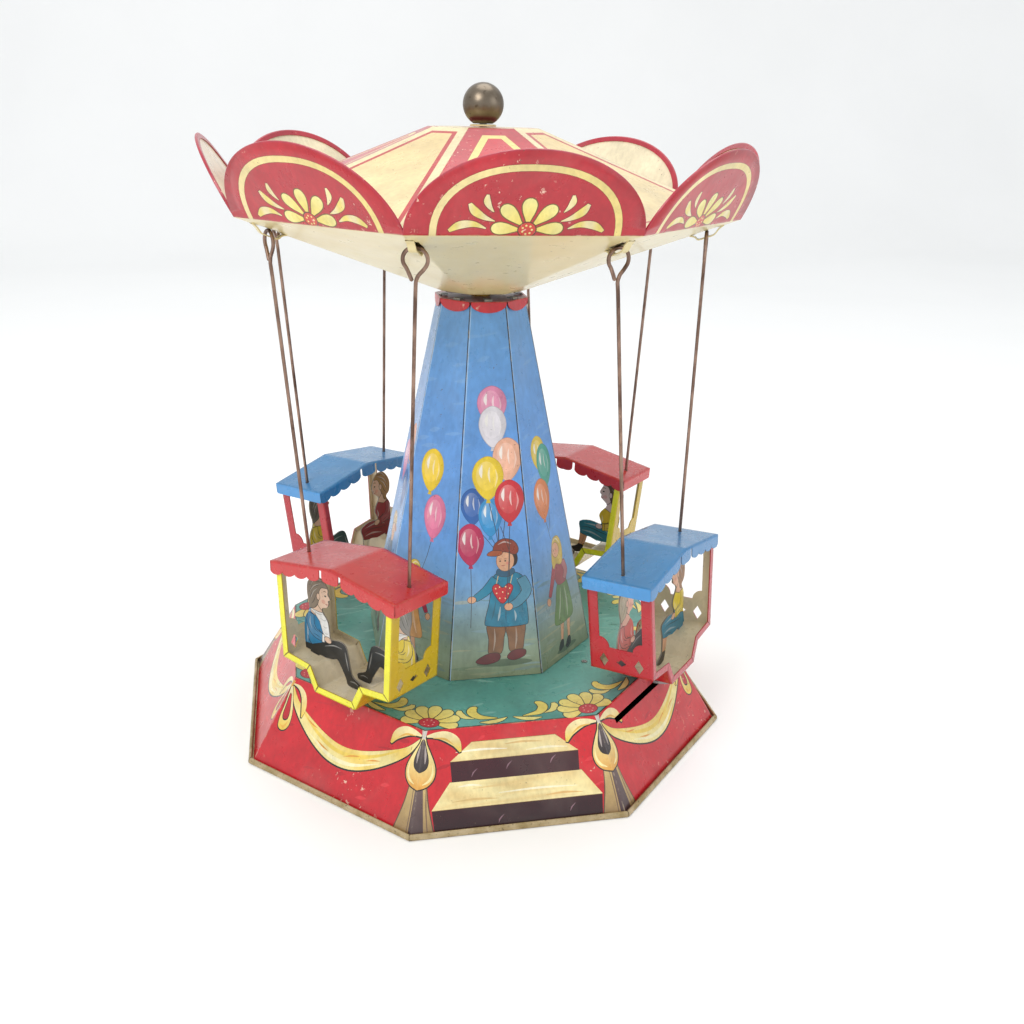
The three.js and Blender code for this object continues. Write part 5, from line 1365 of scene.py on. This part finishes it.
def cabin(number, colour, flange_colour, slot):
    """The bent strip of the body with its turned-in edges."""
    sheet = Sheet()
    shade = mixed(colour, INK, 0.12)
    p = Print(colour)
    bends = list(zip(CABIN_PATH, CABIN_PATH[1:]))
    last = len(bends) - 1
    runs = [Vector((x1 - x0, 0, z1 - z0)).normalized() for (x0, z0), (x1, z1) in bends]
    outward = [Vector((run.z, 0, -run.x)) for run in runs]
    for i, ((x0, z0), (x1, z1)) in enumerate(bends):
        length = math.hypot(x1 - x0, z1 - z0)
        face = Panel((x0, 0, z0), (0, 1, 0), runs[i])
        outline = [(-CABIN_Y, 0), (CABIN_Y, 0), (CABIN_Y, length), (-CABIN_Y, length)]
        folds = [(outline[1], outline[2], Vector((0, 1, 0))), (outline[3], outline[0], Vector((0, -1, 0)))]
        if i > 0:
            folds.append((outline[0], outline[1], outward[i - 1]))
        if i < last:
            folds.append((outline[2], outline[3], outward[i + 1]))
        holes = []
        if i in (0, last):
            diamonds = [[(y - a, 61.2), (y, 61.2 - b), (y + a, 61.2), (y, 61.2 + b)]
                        for y, a, b in ((-8.4, 2.2, 3.4), (0, 2.5, 1.7), (8.4, 2.2, 3.4))]
            for hole in [window(), *diamonds]:
                holes.append([face.flat((x0 + (x1 - x0) * (z - z0) / (z1 - z0), y, z)) for y, z in hole])
        if i in (1, last - 1):
            holes.append([face.flat((x, y, z0 + (z1 - z0) * (x - x0) / (x1 - x0)))
                          for x, y in seat_slot(number, -1 if i == 1 else 1)])
        lay(sheet, face, outline, p, holes, folds, back=TAN, edge=shade, band=1.0, thick=CABIN_TIN)
    flanges(sheet, flange_colour, shade, outward)
    finish_gondola(sheet, number, "body_tin", CABIN_PAINT, "body", slot)


def flanges(sheet, colour, shade, outward):
    """The body's edges, turned in flat and mitred at each bend."""
    deep = offset_line(CABIN_PATH, FLANGE)
    last = len(outward) - 1
    for side in (-1, 1):
        flat = Panel((0, side * CABIN_Y, 0), (-side, 0, 0), UP)
        for i, normal in enumerate(outward):
            a, b, c, d = [Vector(p) for p in (CABIN_PATH[i], CABIN_PATH[i + 1], deep[i + 1], deep[i])]
            gap = (b - a).normalized() * 0.14
            quad = [a, b, c - gap if i < last else c, d + gap if i > 0 else d]
            outline = [flat.flat((q.x, side * CABIN_Y, q.y)) for q in quad]
            flange = Print(colour)
            for start, end, seam in ((1, 2, i < last), (3, 0, i > 0)):
                if seam:
                    flange.line([outline[start], outline[end]], 0.4, mixed(shade, INK, 0.55))
            lay(sheet, flat, outline, flange, folds=[(outline[0], outline[1], normal)],
                back=TAN, edge=shade, band=0.8, thick=CABIN_TIN)


def offset_line(points, distance):
    """A line moved to its left, with mitred corners."""
    normals = []
    for (x0, y0), (x1, y1) in zip(points, points[1:]):
        length = math.hypot(x1 - x0, y1 - y0)
        normals.append((-(y1 - y0) / length, (x1 - x0) / length))
    moved = []
    for i, (x, y) in enumerate(points):
        a, b = normals[max(i - 1, 0)], normals[min(i, len(normals) - 1)]
        spread = 1 + a[0] * b[0] + a[1] * b[1]
        moved.append((x + distance * (a[0] + b[0]) / spread, y + distance * (a[1] + b[1]) / spread))
    return moved


def valance():
    """Half of the long side's hanging edge, from the middle of its tab to the end of the roof."""
    tab, tab_foot, slit, lobes = 4.75, -6.6, 1.5, 4
    start = tab + slit
    lobe = (CABIN_ROOF_X - start) / lobes
    half = [(0, tab_foot)]
    half += [(tab * math.sin(a), tab_foot + 2.4 * (1 - math.cos(a))) for a in np.radians(range(15, 91, 15))]
    half += [(tab, -1.2), (tab + 0.3, -0.9), (start - 0.3, -0.9), (start, -1.2)]
    for i in range(lobes):
        middle = start + lobe * (i + 0.5)
        half += [(middle - lobe / 2 * math.cos(a), -4.2 - 2 * math.sin(a))
                 for a in np.radians(range(0, 181, 20))]
    return [(x, eave(x) + dz) for x, dz in half]


def gondola_roof(number, colour, fascia_colour, slot):
    """The folded roof: two slopes, a plain fascia at each end and a scalloped valance down each long side."""
    sheet = Sheet()
    edge = mixed(colour, INK, 0.15)
    ridge = Vector((0, 0, CABIN_RIDGE_Z))
    falls = {side: Vector((side * CABIN_ROOF_X, 0, CABIN_EAVE_Z)) - ridge for side in (-1, 1)}
    slopes = {side: Panel(ridge, (0, -side, 0), fall) for side, fall in falls.items()}
    for side, face in slopes.items():
        length = falls[side].length
        outline = [(-CABIN_ROOF_Y, 0), (CABIN_ROOF_Y, 0), (CABIN_ROOF_Y, length), (-CABIN_ROOF_Y, length)]
        folds = [(outline[0], outline[1], slopes[-side].normal),
                 (outline[1], outline[2], Vector((0, -side, 0))),
                 (outline[2], outline[3], Vector((side, 0, 0))),
                 (outline[3], outline[0], Vector((0, side, 0)))]
        hole = face.flat((side * WIRE_FOOT_X, 0, eave(WIRE_FOOT_X)))
        # The slopes are painted lighter at the ridge and darker towards the eaves: painted shade.
        p = Print(lambda t, s: mixed(colour, mixed(colour, INK, 0.2), 0.3 + s / 120))
        lay(sheet, face, outline, p, [oval(*hole, 1.0, 1.0, steps=14)], folds, back=TAN, edge=edge, band=1.5,
            thick=CABIN_TIN)
        fascia = Panel((side * CABIN_ROOF_X, 0, CABIN_EAVE_Z), (0, side, 0), UP)
        low = [(-CABIN_ROOF_Y + 0.6, -FASCIA), (CABIN_ROOF_Y - 0.6, -FASCIA), (CABIN_ROOF_Y, -FASCIA + 0.7),
               (CABIN_ROOF_Y, 0), (-CABIN_ROOF_Y, 0), (-CABIN_ROOF_Y, -FASCIA + 0.7)]
        lay(sheet, fascia, low, Print(fascia_colour), folds=[(low[3], low[4], face.normal)], back=TAN,
            edge=edge, band=1.3, thick=CABIN_TIN)
    peak, first, last = (0, CABIN_RIDGE_Z), (-CABIN_ROOF_X, CABIN_EAVE_Z), (CABIN_ROOF_X, CABIN_EAVE_Z)
    right = valance() + [last]
    outline = [peak, *[(-x, z) for x, z in right[::-1]], *right[1:]]
    for side in (-1, 1):
        face = Panel((0, side * CABIN_ROOF_Y, 0), (-side, 0, 0), UP)
        folds = [(first, peak, slopes[side].normal), (peak, last, slopes[-side].normal)]
        lay(sheet, face, outline, Print(mixed(colour, INK, 0.06)), folds=folds, back=TAN, edge=edge, band=1.3,
            thick=CABIN_TIN)
    finish_gondola(sheet, number, "roof_tin", CABIN_PAINT, "roof", slot)


def hang(number):
    """How a gondola's tin has settled on its wires, in the gondola's own place."""
    shift, tilt, roll, yaw = HANG[number]
    pivot = Vector((0, 0, HANG_PIVOT_Z))
    turn = (Matrix.Rotation(math.radians(yaw), 4, "Z") @ Matrix.Rotation(math.radians(roll), 4, "Y")
            @ Matrix.Rotation(math.radians(tilt), 4, "X"))
    return Matrix.Translation(Vector(shift) + pivot) @ turn @ Matrix.Translation(-pivot)


def gondola_place(number, settled):
    """Where a gondola's own place is on the toy, settled on its wires or straight under its hooks."""
    a = math.radians(GONDOLA_ANGLES[number - 1] + CANOPY_TURN)
    place = Matrix.Translation((HANG_R * math.sin(a), -HANG_R * math.cos(a), 0)) @ Matrix.Rotation(a, 4, "Z")
    return place @ hang(number) if settled else place


def finish_gondola(sheet, number, name, material, node, slot, settled=True):
    """Turns a sheet drawn in the gondola's own place to where it hangs, and makes its piece."""
    place = gondola_place(number, settled)
    turn = place.to_3x3()
    sheet.points = [tuple(place @ Vector(p)) for p in sheet.points]
    sheet.normals = [turn @ n for n in sheet.normals]
    gondola = f"gondola_{number}"
    sheet.place(f"{gondola}_{name}", material, gondola, f"{gondola}_{node}", slot)


# ---------- riders: flat tin figures, drawn as the left one, which looks along +X ----------
TROUSERS_RIDER = [(-29, 57), (-29.4, 64.4), (-28.8, 71.6), (-25.9, 77), (-27, 84), (-26.4, 89.5), (-23, 92.6),
                  (-20, 93), (-16.4, 91.6), (-14.2, 88.6), (-14.4, 86.6), (-12.9, 84.6), (-14.2, 83.6),
                  (-13.9, 82.2), (-15.2, 80.2), (-17.6, 79.4), (-18, 77.4), (-14.8, 73.6), (-13.9, 68.4),
                  (-13.2, 65.6), (-7.6, 66.4), (-4.2, 65), (-2.7, 60), (-1.6, 55), (-0.3, 51.8), (4.2, 49.6),
                  (4.2, 47.6), (3, 46.9), (-3, 47), (-4.4, 50), (-7.4, 55), (-9.4, 57.4), (-12, 56.6),
                  (-16.8, 55.9)]
SKIRT_RIDER = [(-27.5, 57.1), (-26, 64), (-26.5, 72.5), (-24, 77.5), (-26.8, 80), (-27.5, 86), (-24, 91.5),
               (-20, 92.4), (-16.2, 90.5), (-14.6, 87.6), (-13.4, 84.8), (-14.5, 83.4), (-14.3, 82),
               (-15.6, 80.8), (-18.4, 78), (-15.4, 74), (-14.4, 71), (-16, 66.4), (-9, 67), (-2.6, 65),
               (-3.4, 59.6), (-3.2, 54), (-2.4, 50.8), (1.8, 48.6), (1.6, 46.9), (-4.4, 47), (-7.2, 54),
               (-8.4, 57.4), (-14, 56.2)]


def rider_outline(skirt):
    """The figure's smooth edge with the tab that stands in the seat's slot."""
    points = SKIRT_RIDER if skirt else TROUSERS_RIDER
    left, right, foot = RIDER_TAB
    (x0, z0), (x1, z1) = points[-1], points[0]
    tab = [(x, z0 + (z1 - z0) * (x - x0) / (x1 - x0)) for x in (right, left)]
    return through(points, closed=False, steps=3) + [tab[0], (right, foot), (left, foot), tab[1]]


def rider_print(look, way):
    """Both sides of a figure carry the same drawing; way is -1 on the side where it is mirrored."""
    tone = {key: rgb(value) for key, value in look.items() if key != "skirt"}
    dark = mixed(tone["top"], INK, 0.75)
    p = Print(tone["top"])

    def turned(points):
        return [(way * x, z) for x, z in points]

    def area_of(points, colour, smooth=True):
        p.lined(turned(through(points, steps=3) if smooth else points), colour, INK, 0.26)

    def lines(strokes, colour, width):
        for points in strokes:
            p.stroke(turned(points), [0.14] + [width] * (len(points) - 2) + [0.14], colour)

    light = mixed(tone["top"], WHITE, 0.4)
    lines([[(-28, 72), (-27.4, 66), (-27.8, 60)], [(-16, 72), (-16.6, 69), (-15.6, 67)],
           [(-26.6, 75), (-25, 76.4), (-22.8, 76)]], light, 0.9)
    lines([[(-27.6, 64), (-26.4, 61), (-24, 59.4)], [(-20.4, 69), (-19.4, 67.6), (-17, 67.2)],
           [(-28, 69.6), (-26.6, 68.4), (-26, 66)]], dark, 0.6)
    if look["skirt"]:
        area_of([(-30, 52), (-30, 61), (-24.6, 63.2), (-19, 64.6), (-15.6, 68.2), (-8, 68.8), (-0.6, 66.6),
                 (-1.4, 60.4), (-4.6, 57.9), (-9, 57.2), (-14, 54)], tone["legs"], False)
        glint = mixed(tone["legs"], WHITE, 0.35)
        lines([[(-21, 62.4), (-14.4, 64.8), (-5.4, 64.6)], [(-18, 58.2), (-11, 60.2), (-4.6, 60.2)]], glint,
              1.0)
        lines([[(-24, 60.6), (-16.6, 61.6), (-9.4, 62.8), (-4, 62.2)],
               [(-13, 57.6), (-9, 58.8), (-6.4, 58.6)]],
              mixed(tone["legs"], INK, 0.7), 0.5)
        area_of([(-9.4, 57), (-4.4, 58), (-1.6, 59.6), (-1.2, 50.4), (-3, 50.2), (-5.4, 51.6), (-7.9, 53.6)],
                tone["socks"], False)
        lines([[(-6.2, 57), (-5.4, 53), (-4, 50.6)]], mixed(tone["socks"], INK, 0.5), 0.4)
        area_of([(-7, 50.9), (-3.6, 51.6), (-1.4, 50.9), (3.4, 49.6), (3, 45), (-7, 45)], tone["shoes"],
                False)
    else:
        area_of([(-31, 52), (-31, 59.4), (-24.6, 59.8), (-19, 62.2), (-14.6, 64.4), (-11, 67.6), (-3, 67.6),
                 (0, 61), (1, 53.4), (-0.6, 51.9), (-4.2, 51.3), (-8, 53.4), (-14, 54)], tone["legs"], False)
        glint = mixed(tone["legs"], WHITE, 0.3)
        lines([[(-17, 61.4), (-11.4, 63.4), (-6.4, 63.4)], [(-4.6, 62.4), (-3.6, 58), (-2.6, 54)]], glint,
              0.6)
        lines([[(-15.6, 58.4), (-10.6, 60), (-7.4, 58.4), (-5.4, 55), (-3.4, 52)]],
              mixed(tone["legs"], INK, 0.8), 0.5)
        area_of([(-6, 51.3), (-2.4, 52.4), (0.4, 52.2), (6, 50.6), (5.6, 45), (-6, 45)], tone["shoes"], False)
        lines([[(-2, 49.2), (0.6, 49.6), (2.8, 48.8)]], mixed(tone["shoes"], WHITE, 0.35), 0.5)
    area_of([(-24.8, 79.6), (-24.9, 75.6), (-21.4, 74.4), (-17, 76.4), (-17, 80)], tone["skin"], False)
    if "shirt" in tone:
        area_of([(-25.6, 77.4), (-22.4, 75.4), (-19.6, 72.6), (-18.2, 68.6), (-16.6, 65.4), (-12.6, 65.6),
                 (-13.2, 72.6), (-16.4, 77.2), (-20.4, 76.8)], tone["shirt"], False)
        lines([[(-23.8, 77.2), (-20.6, 75.8), (-17.6, 76.4)], [(-19.2, 74.2), (-16.8, 73.6), (-15.4, 74.4)],
               [(-17.6, 71), (-16.2, 70.4), (-15, 71)], [(-16.8, 68), (-15.6, 67.6), (-14.6, 68)]],
              mixed(tone["shirt"], INK, 0.45), 0.36)
    area_of([(-18.6, 78.6), (-20.9, 81.4), (-20.6, 86.4), (-18, 89.6), (-12, 90.6), (-10.6, 84.6),
             (-12, 79.4),
             (-15, 77.8)], tone["skin"])
    hair = [(-30, 78), (-30, 95), (-14, 96), (-12.4, 90.4), (-15.4, 89.4), (-18.2, 88.8), (-19.6, 86.4),
            (-19.9, 82.6), (-21.4, 79.4), (-24, 77.9)]
    area_of([*hair[:-1], (-22.4, 76.4), (-26, 75.8)] if look["skirt"] else hair, tone["hair"])
    strands = [[(-25.4, 88), (-22.4, 91), (-18.6, 91.2)], [(-26, 84.6), (-23.4, 87.6), (-19.4, 89.8)],
               [(-25.6, 81.4), (-24, 84.6), (-21.4, 87)], [(-24.4, 79.6), (-22.8, 81.6), (-21.6, 84.4)],
               [(-20.6, 92), (-17.8, 91.8), (-15.6, 90.4)]]
    lines(strands, mixed(tone["hair"], INK, 0.65), 0.5)
    lines([shifted(strand, 0.9, 0.9) for strand in strands[:3]], mixed(tone["hair"], WHITE, 0.35), 0.5)
    p.lined(turned(oval(-20.1, 84.1, 0.95, 1.5, steps=14)), tone["skin"], INK, 0.22)
    p.add(turned(oval(-16.9, 82.6, 1.25, 1, steps=14)), mixed(tone["skin"], rgb("d4685c"), 0.4))
    p.add(turned(oval(-15.7, 85.5, 0.62, 0.42, steps=12)), INK)
    lines([[(-17, 87.2), (-15.9, 87.7), (-14.9, 87.4)]], BROWN, 0.42)
    lines([[(-15.9, 81.9), (-14.9, 81.7), (-14.1, 82)]], rgb("a84440"), 0.42)
    sleeve = ribbon([(-25, 74.8), (-25.4, 70), (-22.9, 66.4), (-17.8, 65)], [3.4, 4.6, 4.4, 3.4])
    p.lined(turned(sleeve), tone.get("sleeve", mixed(tone["top"], WHITE, 0.06)), INK, 0.3)
    lines([[(-25.4, 73.4), (-25.8, 70.4), (-24.6, 67.4)]], light, 0.8)
    lines([[(-24, 69.4), (-22.6, 67.8), (-20.4, 67)], [(-23.6, 65.6), (-21.4, 65.2), (-19.4, 64.6)]], dark,
          0.4)
    p.lined(turned(ribbon([(-18.3, 65), (-17, 64.9)], [3.8, 3.6])), tone.get("shirt", tone["top"]), INK, 0.24)
    p.lined(turned(oval(-14.9, 64.9, 2.1, 1.35, -8, 18)), tone["skin"], INK, 0.26)
    lines([[(-14.4, 65.4), (-13.6, 65.2), (-13.1, 64.9)]], mixed(tone["skin"], INK, 0.5), 0.24)
    return p


RIDERS = {
    (1, "left"): {"skirt": False, "top": "2a84b4", "shirt": "eceae6", "legs": "26282a", "shoes": "1f1e1d",
                  "hair": "8b7c6c", "skin": "e6c4aa"},
    (1, "right"): {"skirt": False, "top": "e3c92a", "shirt": "e9e6e0", "legs": "282b2c", "shoes": "1f1e1d",
                   "hair": "8f8c86", "skin": "e2bda0"},
    (2, "left"): {"skirt": False, "top": "cf5a56", "legs": "3c3f4a", "shoes": "2a2421", "hair": "b5a68c",
                  "skin": "eab4a0"},
    (2, "right"): {"skirt": True, "top": "e4c92c", "legs": "2d7f98", "socks": "d9a27c", "shoes": "2c2622",
                   "hair": "9a6a3c", "skin": "e4b494"},
    (3, "left"): {"skirt": True, "top": "dcb92c", "legs": "2d8296", "socks": "d9a27c", "shoes": "2a2421",
                  "hair": "5e4230", "skin": "dcc2c0"},
    (3, "right"): {"skirt": False, "top": "8b2a34", "shirt": "e8e6e2", "legs": "6a4a34", "shoes": "241f1d",
                   "hair": "4e382a", "skin": "deb294"},
    (4, "left"): {"skirt": True, "top": "9a2030", "legs": "8a1c2a", "socks": "e6dcc2", "shoes": "2a2421",
                  "hair": "a3763e", "skin": "e2b698"},
    (4, "right"): {"skirt": False, "top": "dcbf2c", "legs": "2c4a4c", "shoes": "1f1e1d", "hair": "6d655a",
                   "skin": "deb294"},
}


def riders():
    """Each figure is two printed faces with a plain rim between them."""
    for (number, end), look in RIDERS.items():
        sheet = Sheet()
        outline = rider_outline(look["skirt"])
        y, half = RIDER_Y[number], RIDER_THICK / 2
        for way in (1, -1):
            face = Panel((0, y - way * half, 0), (way, 0, 0), UP)
            edge = [(way * x, z) for x, z in outline]
            lay(sheet, face, edge, rider_print(look, way), band=0.3)
        for (x0, z0), (x1, z1) in zip(outline, outline[1:] + outline[:1]):
            out = Vector((z1 - z0, 0, x0 - x1)) * (1 if area(outline) > 0 else -1)
            corners = [(x0, y - half, z0), (x1, y - half, z1), (x1, y + half, z1), (x0, y + half, z0)]
            sheet.face(corners, [rgb("8d8478")] * 4, [out.normalized()] * 4)
        if end == "right":
            sheet.points = [(-x, -y, z) for x, y, z in sheet.points]
            sheet.normals = [Vector((-n.x, -n.y, n.z)) for n in sheet.normals]
        finish_gondola(sheet, number, f"figure_{end}", FIGURE_PAINT, f"rider_{end}", "rider_paint")


def gondolas():
    """Gondolas 1 and 3 are yellow with a red roof, 2 and 4 red with a blue roof."""
    for number in (1, 2, 3, 4):
        if number % 2:
            cabin(number, CABIN_YELLOW, FLANGE_YELLOW, "yellow_paint")
            gondola_roof(number, ROOF_RED, ROOF_RED, "red_paint")
        else:
            cabin(number, CABIN_RED, FLANGE_RED, "red_paint")
            gondola_roof(number, ROOF_BLUE, mixed(ROOF_BLUE, rgb("5aa8ee"), 0.45), "blue_paint")
        for side, end in ((-1, "left"), (1, "right")):
            sheet = Sheet()
            tube(sheet, wire(side, number), WIRE_R)
            finish_gondola(sheet, number, f"hanger_{end}", WIRE, f"wire_{end}", "wire_steel", settled=False)


# ---------- clockwork, lever and key keep their CAD shapes ----------
def clockwork():
    """Metal and softened edges for the CAD nodes that nothing replaces."""
    brass = ("front_plate", "rear_plate", "great_wheel", "second_wheel", "crown_wheel", "third_wheel",
             "governor_fly", "top_bearing")
    replaced = {n for o in bpy.data.objects for n in o.get("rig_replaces", [])}
    for name, node in frame["nodes"].items():
        if name in replaced:
            continue
        node.data.materials.clear()
        node.data.materials.append(BRASS if name in brass else KEY_STEEL if name == "winding_key" else STEEL)
        bevel = node.modifiers.new("soft edges", "BEVEL")
        bevel.width, bevel.segments, bevel.limit_method = 0.12 * MM, 2, "ANGLE"
        bevel.angle_limit = math.radians(35)


# ---------- studio ----------
CAMERA = {"place": (-78.5, -457.2, 279.3), "aim": (0.1893, 0.9125, -0.3628), "roll": 1.35, "lens": 36.276}
SENSOR = 36


def floor_sweep():
    """A pale floor that bends up into a back wall."""
    floor = bpy.data.meshes.new("floor")
    reach, back, rise, bend = 3.0, 2.2, 2.5, 0.6
    rows = [(-reach, 0.0), (back - bend, 0.0)]
    rows += [(back - bend + bend * math.sin(a), bend - bend * math.cos(a))
             for a in np.linspace(0.1, math.pi / 2, 12)]
    rows += [(back, rise)]
    points = [(x, y, z - 0.0002) for y, z in rows for x in (-reach, reach)]
    floor.from_pydata(points, [], [(2 * i, 2 * i + 1, 2 * i + 3, 2 * i + 2) for i in range(len(rows) - 1)])
    floor.polygons.foreach_set("use_smooth", [True] * len(floor.polygons))
    floor.materials.append(studio_floor())
    sweep = bpy.data.objects.new("floor", floor)
    bpy.context.scene.collection.objects.link(sweep)


def lights():
    world = bpy.data.worlds.new("studio")
    bpy.context.scene.world = world
    world.use_nodes = True
    world.node_tree.nodes["Background"].inputs["Color"].default_value = (0.96, 0.98, 1, 1)
    world.node_tree.nodes["Background"].inputs["Strength"].default_value = 0.92
    bpy.context.scene.view_settings.view_transform = "Standard"

    def lamp(name, place, aim, size, watts, tint):
        light = bpy.data.lights.new(name, "AREA")
        light.shape, light.size, light.energy, light.color = "DISK", size, watts, tint
        thing = bpy.data.objects.new(name, light)
        thing.location = place
        thing.rotation_euler = (Vector(aim) - Vector(place)).to_track_quat("-Z", "Y").to_euler()
        bpy.context.scene.collection.objects.link(thing)

    lamp("key_light", (-0.7, -0.75, 1.05), (0, 0, 0.12), 0.7, 7.2, (1, 0.98, 0.95))
    lamp("fill_light", (0.9, -0.7, 0.6), (0, 0, 0.12), 0.8, 1.2, (0.95, 0.97, 1))
    lamp("top_light", (0.1, 0.25, 1.2), (0, 0, 0.1), 0.9, 4, (1, 1, 1))


def viewpoint():
    """The camera at the photograph's viewing angle."""
    camera = bpy.data.cameras.new("camera")
    camera.lens, camera.sensor_width = CAMERA["lens"], SENSOR
    camera.clip_start = 0.01
    thing = bpy.data.objects.new("camera", camera)
    bpy.context.scene.collection.objects.link(thing)
    forward = Vector(CAMERA["aim"]).normalized()
    right = forward.cross(UP).normalized()
    up = right.cross(forward)
    roll = math.radians(CAMERA["roll"])
    across = right * math.cos(roll) + up * math.sin(roll)
    upward = up * math.cos(roll) - right * math.sin(roll)
    turn = Matrix((across, upward, -forward)).transposed()
    thing.matrix_world = Matrix.Translation([c * MM for c in CAMERA["place"]]) @ turn.to_4x4()
    bpy.context.scene.camera = thing


base_plate()
base_cover()
tower()
collar()
pan()
roof()
ball()
gondolas()
riders()
clockwork()
floor_sweep()
lights()
viewpoint()
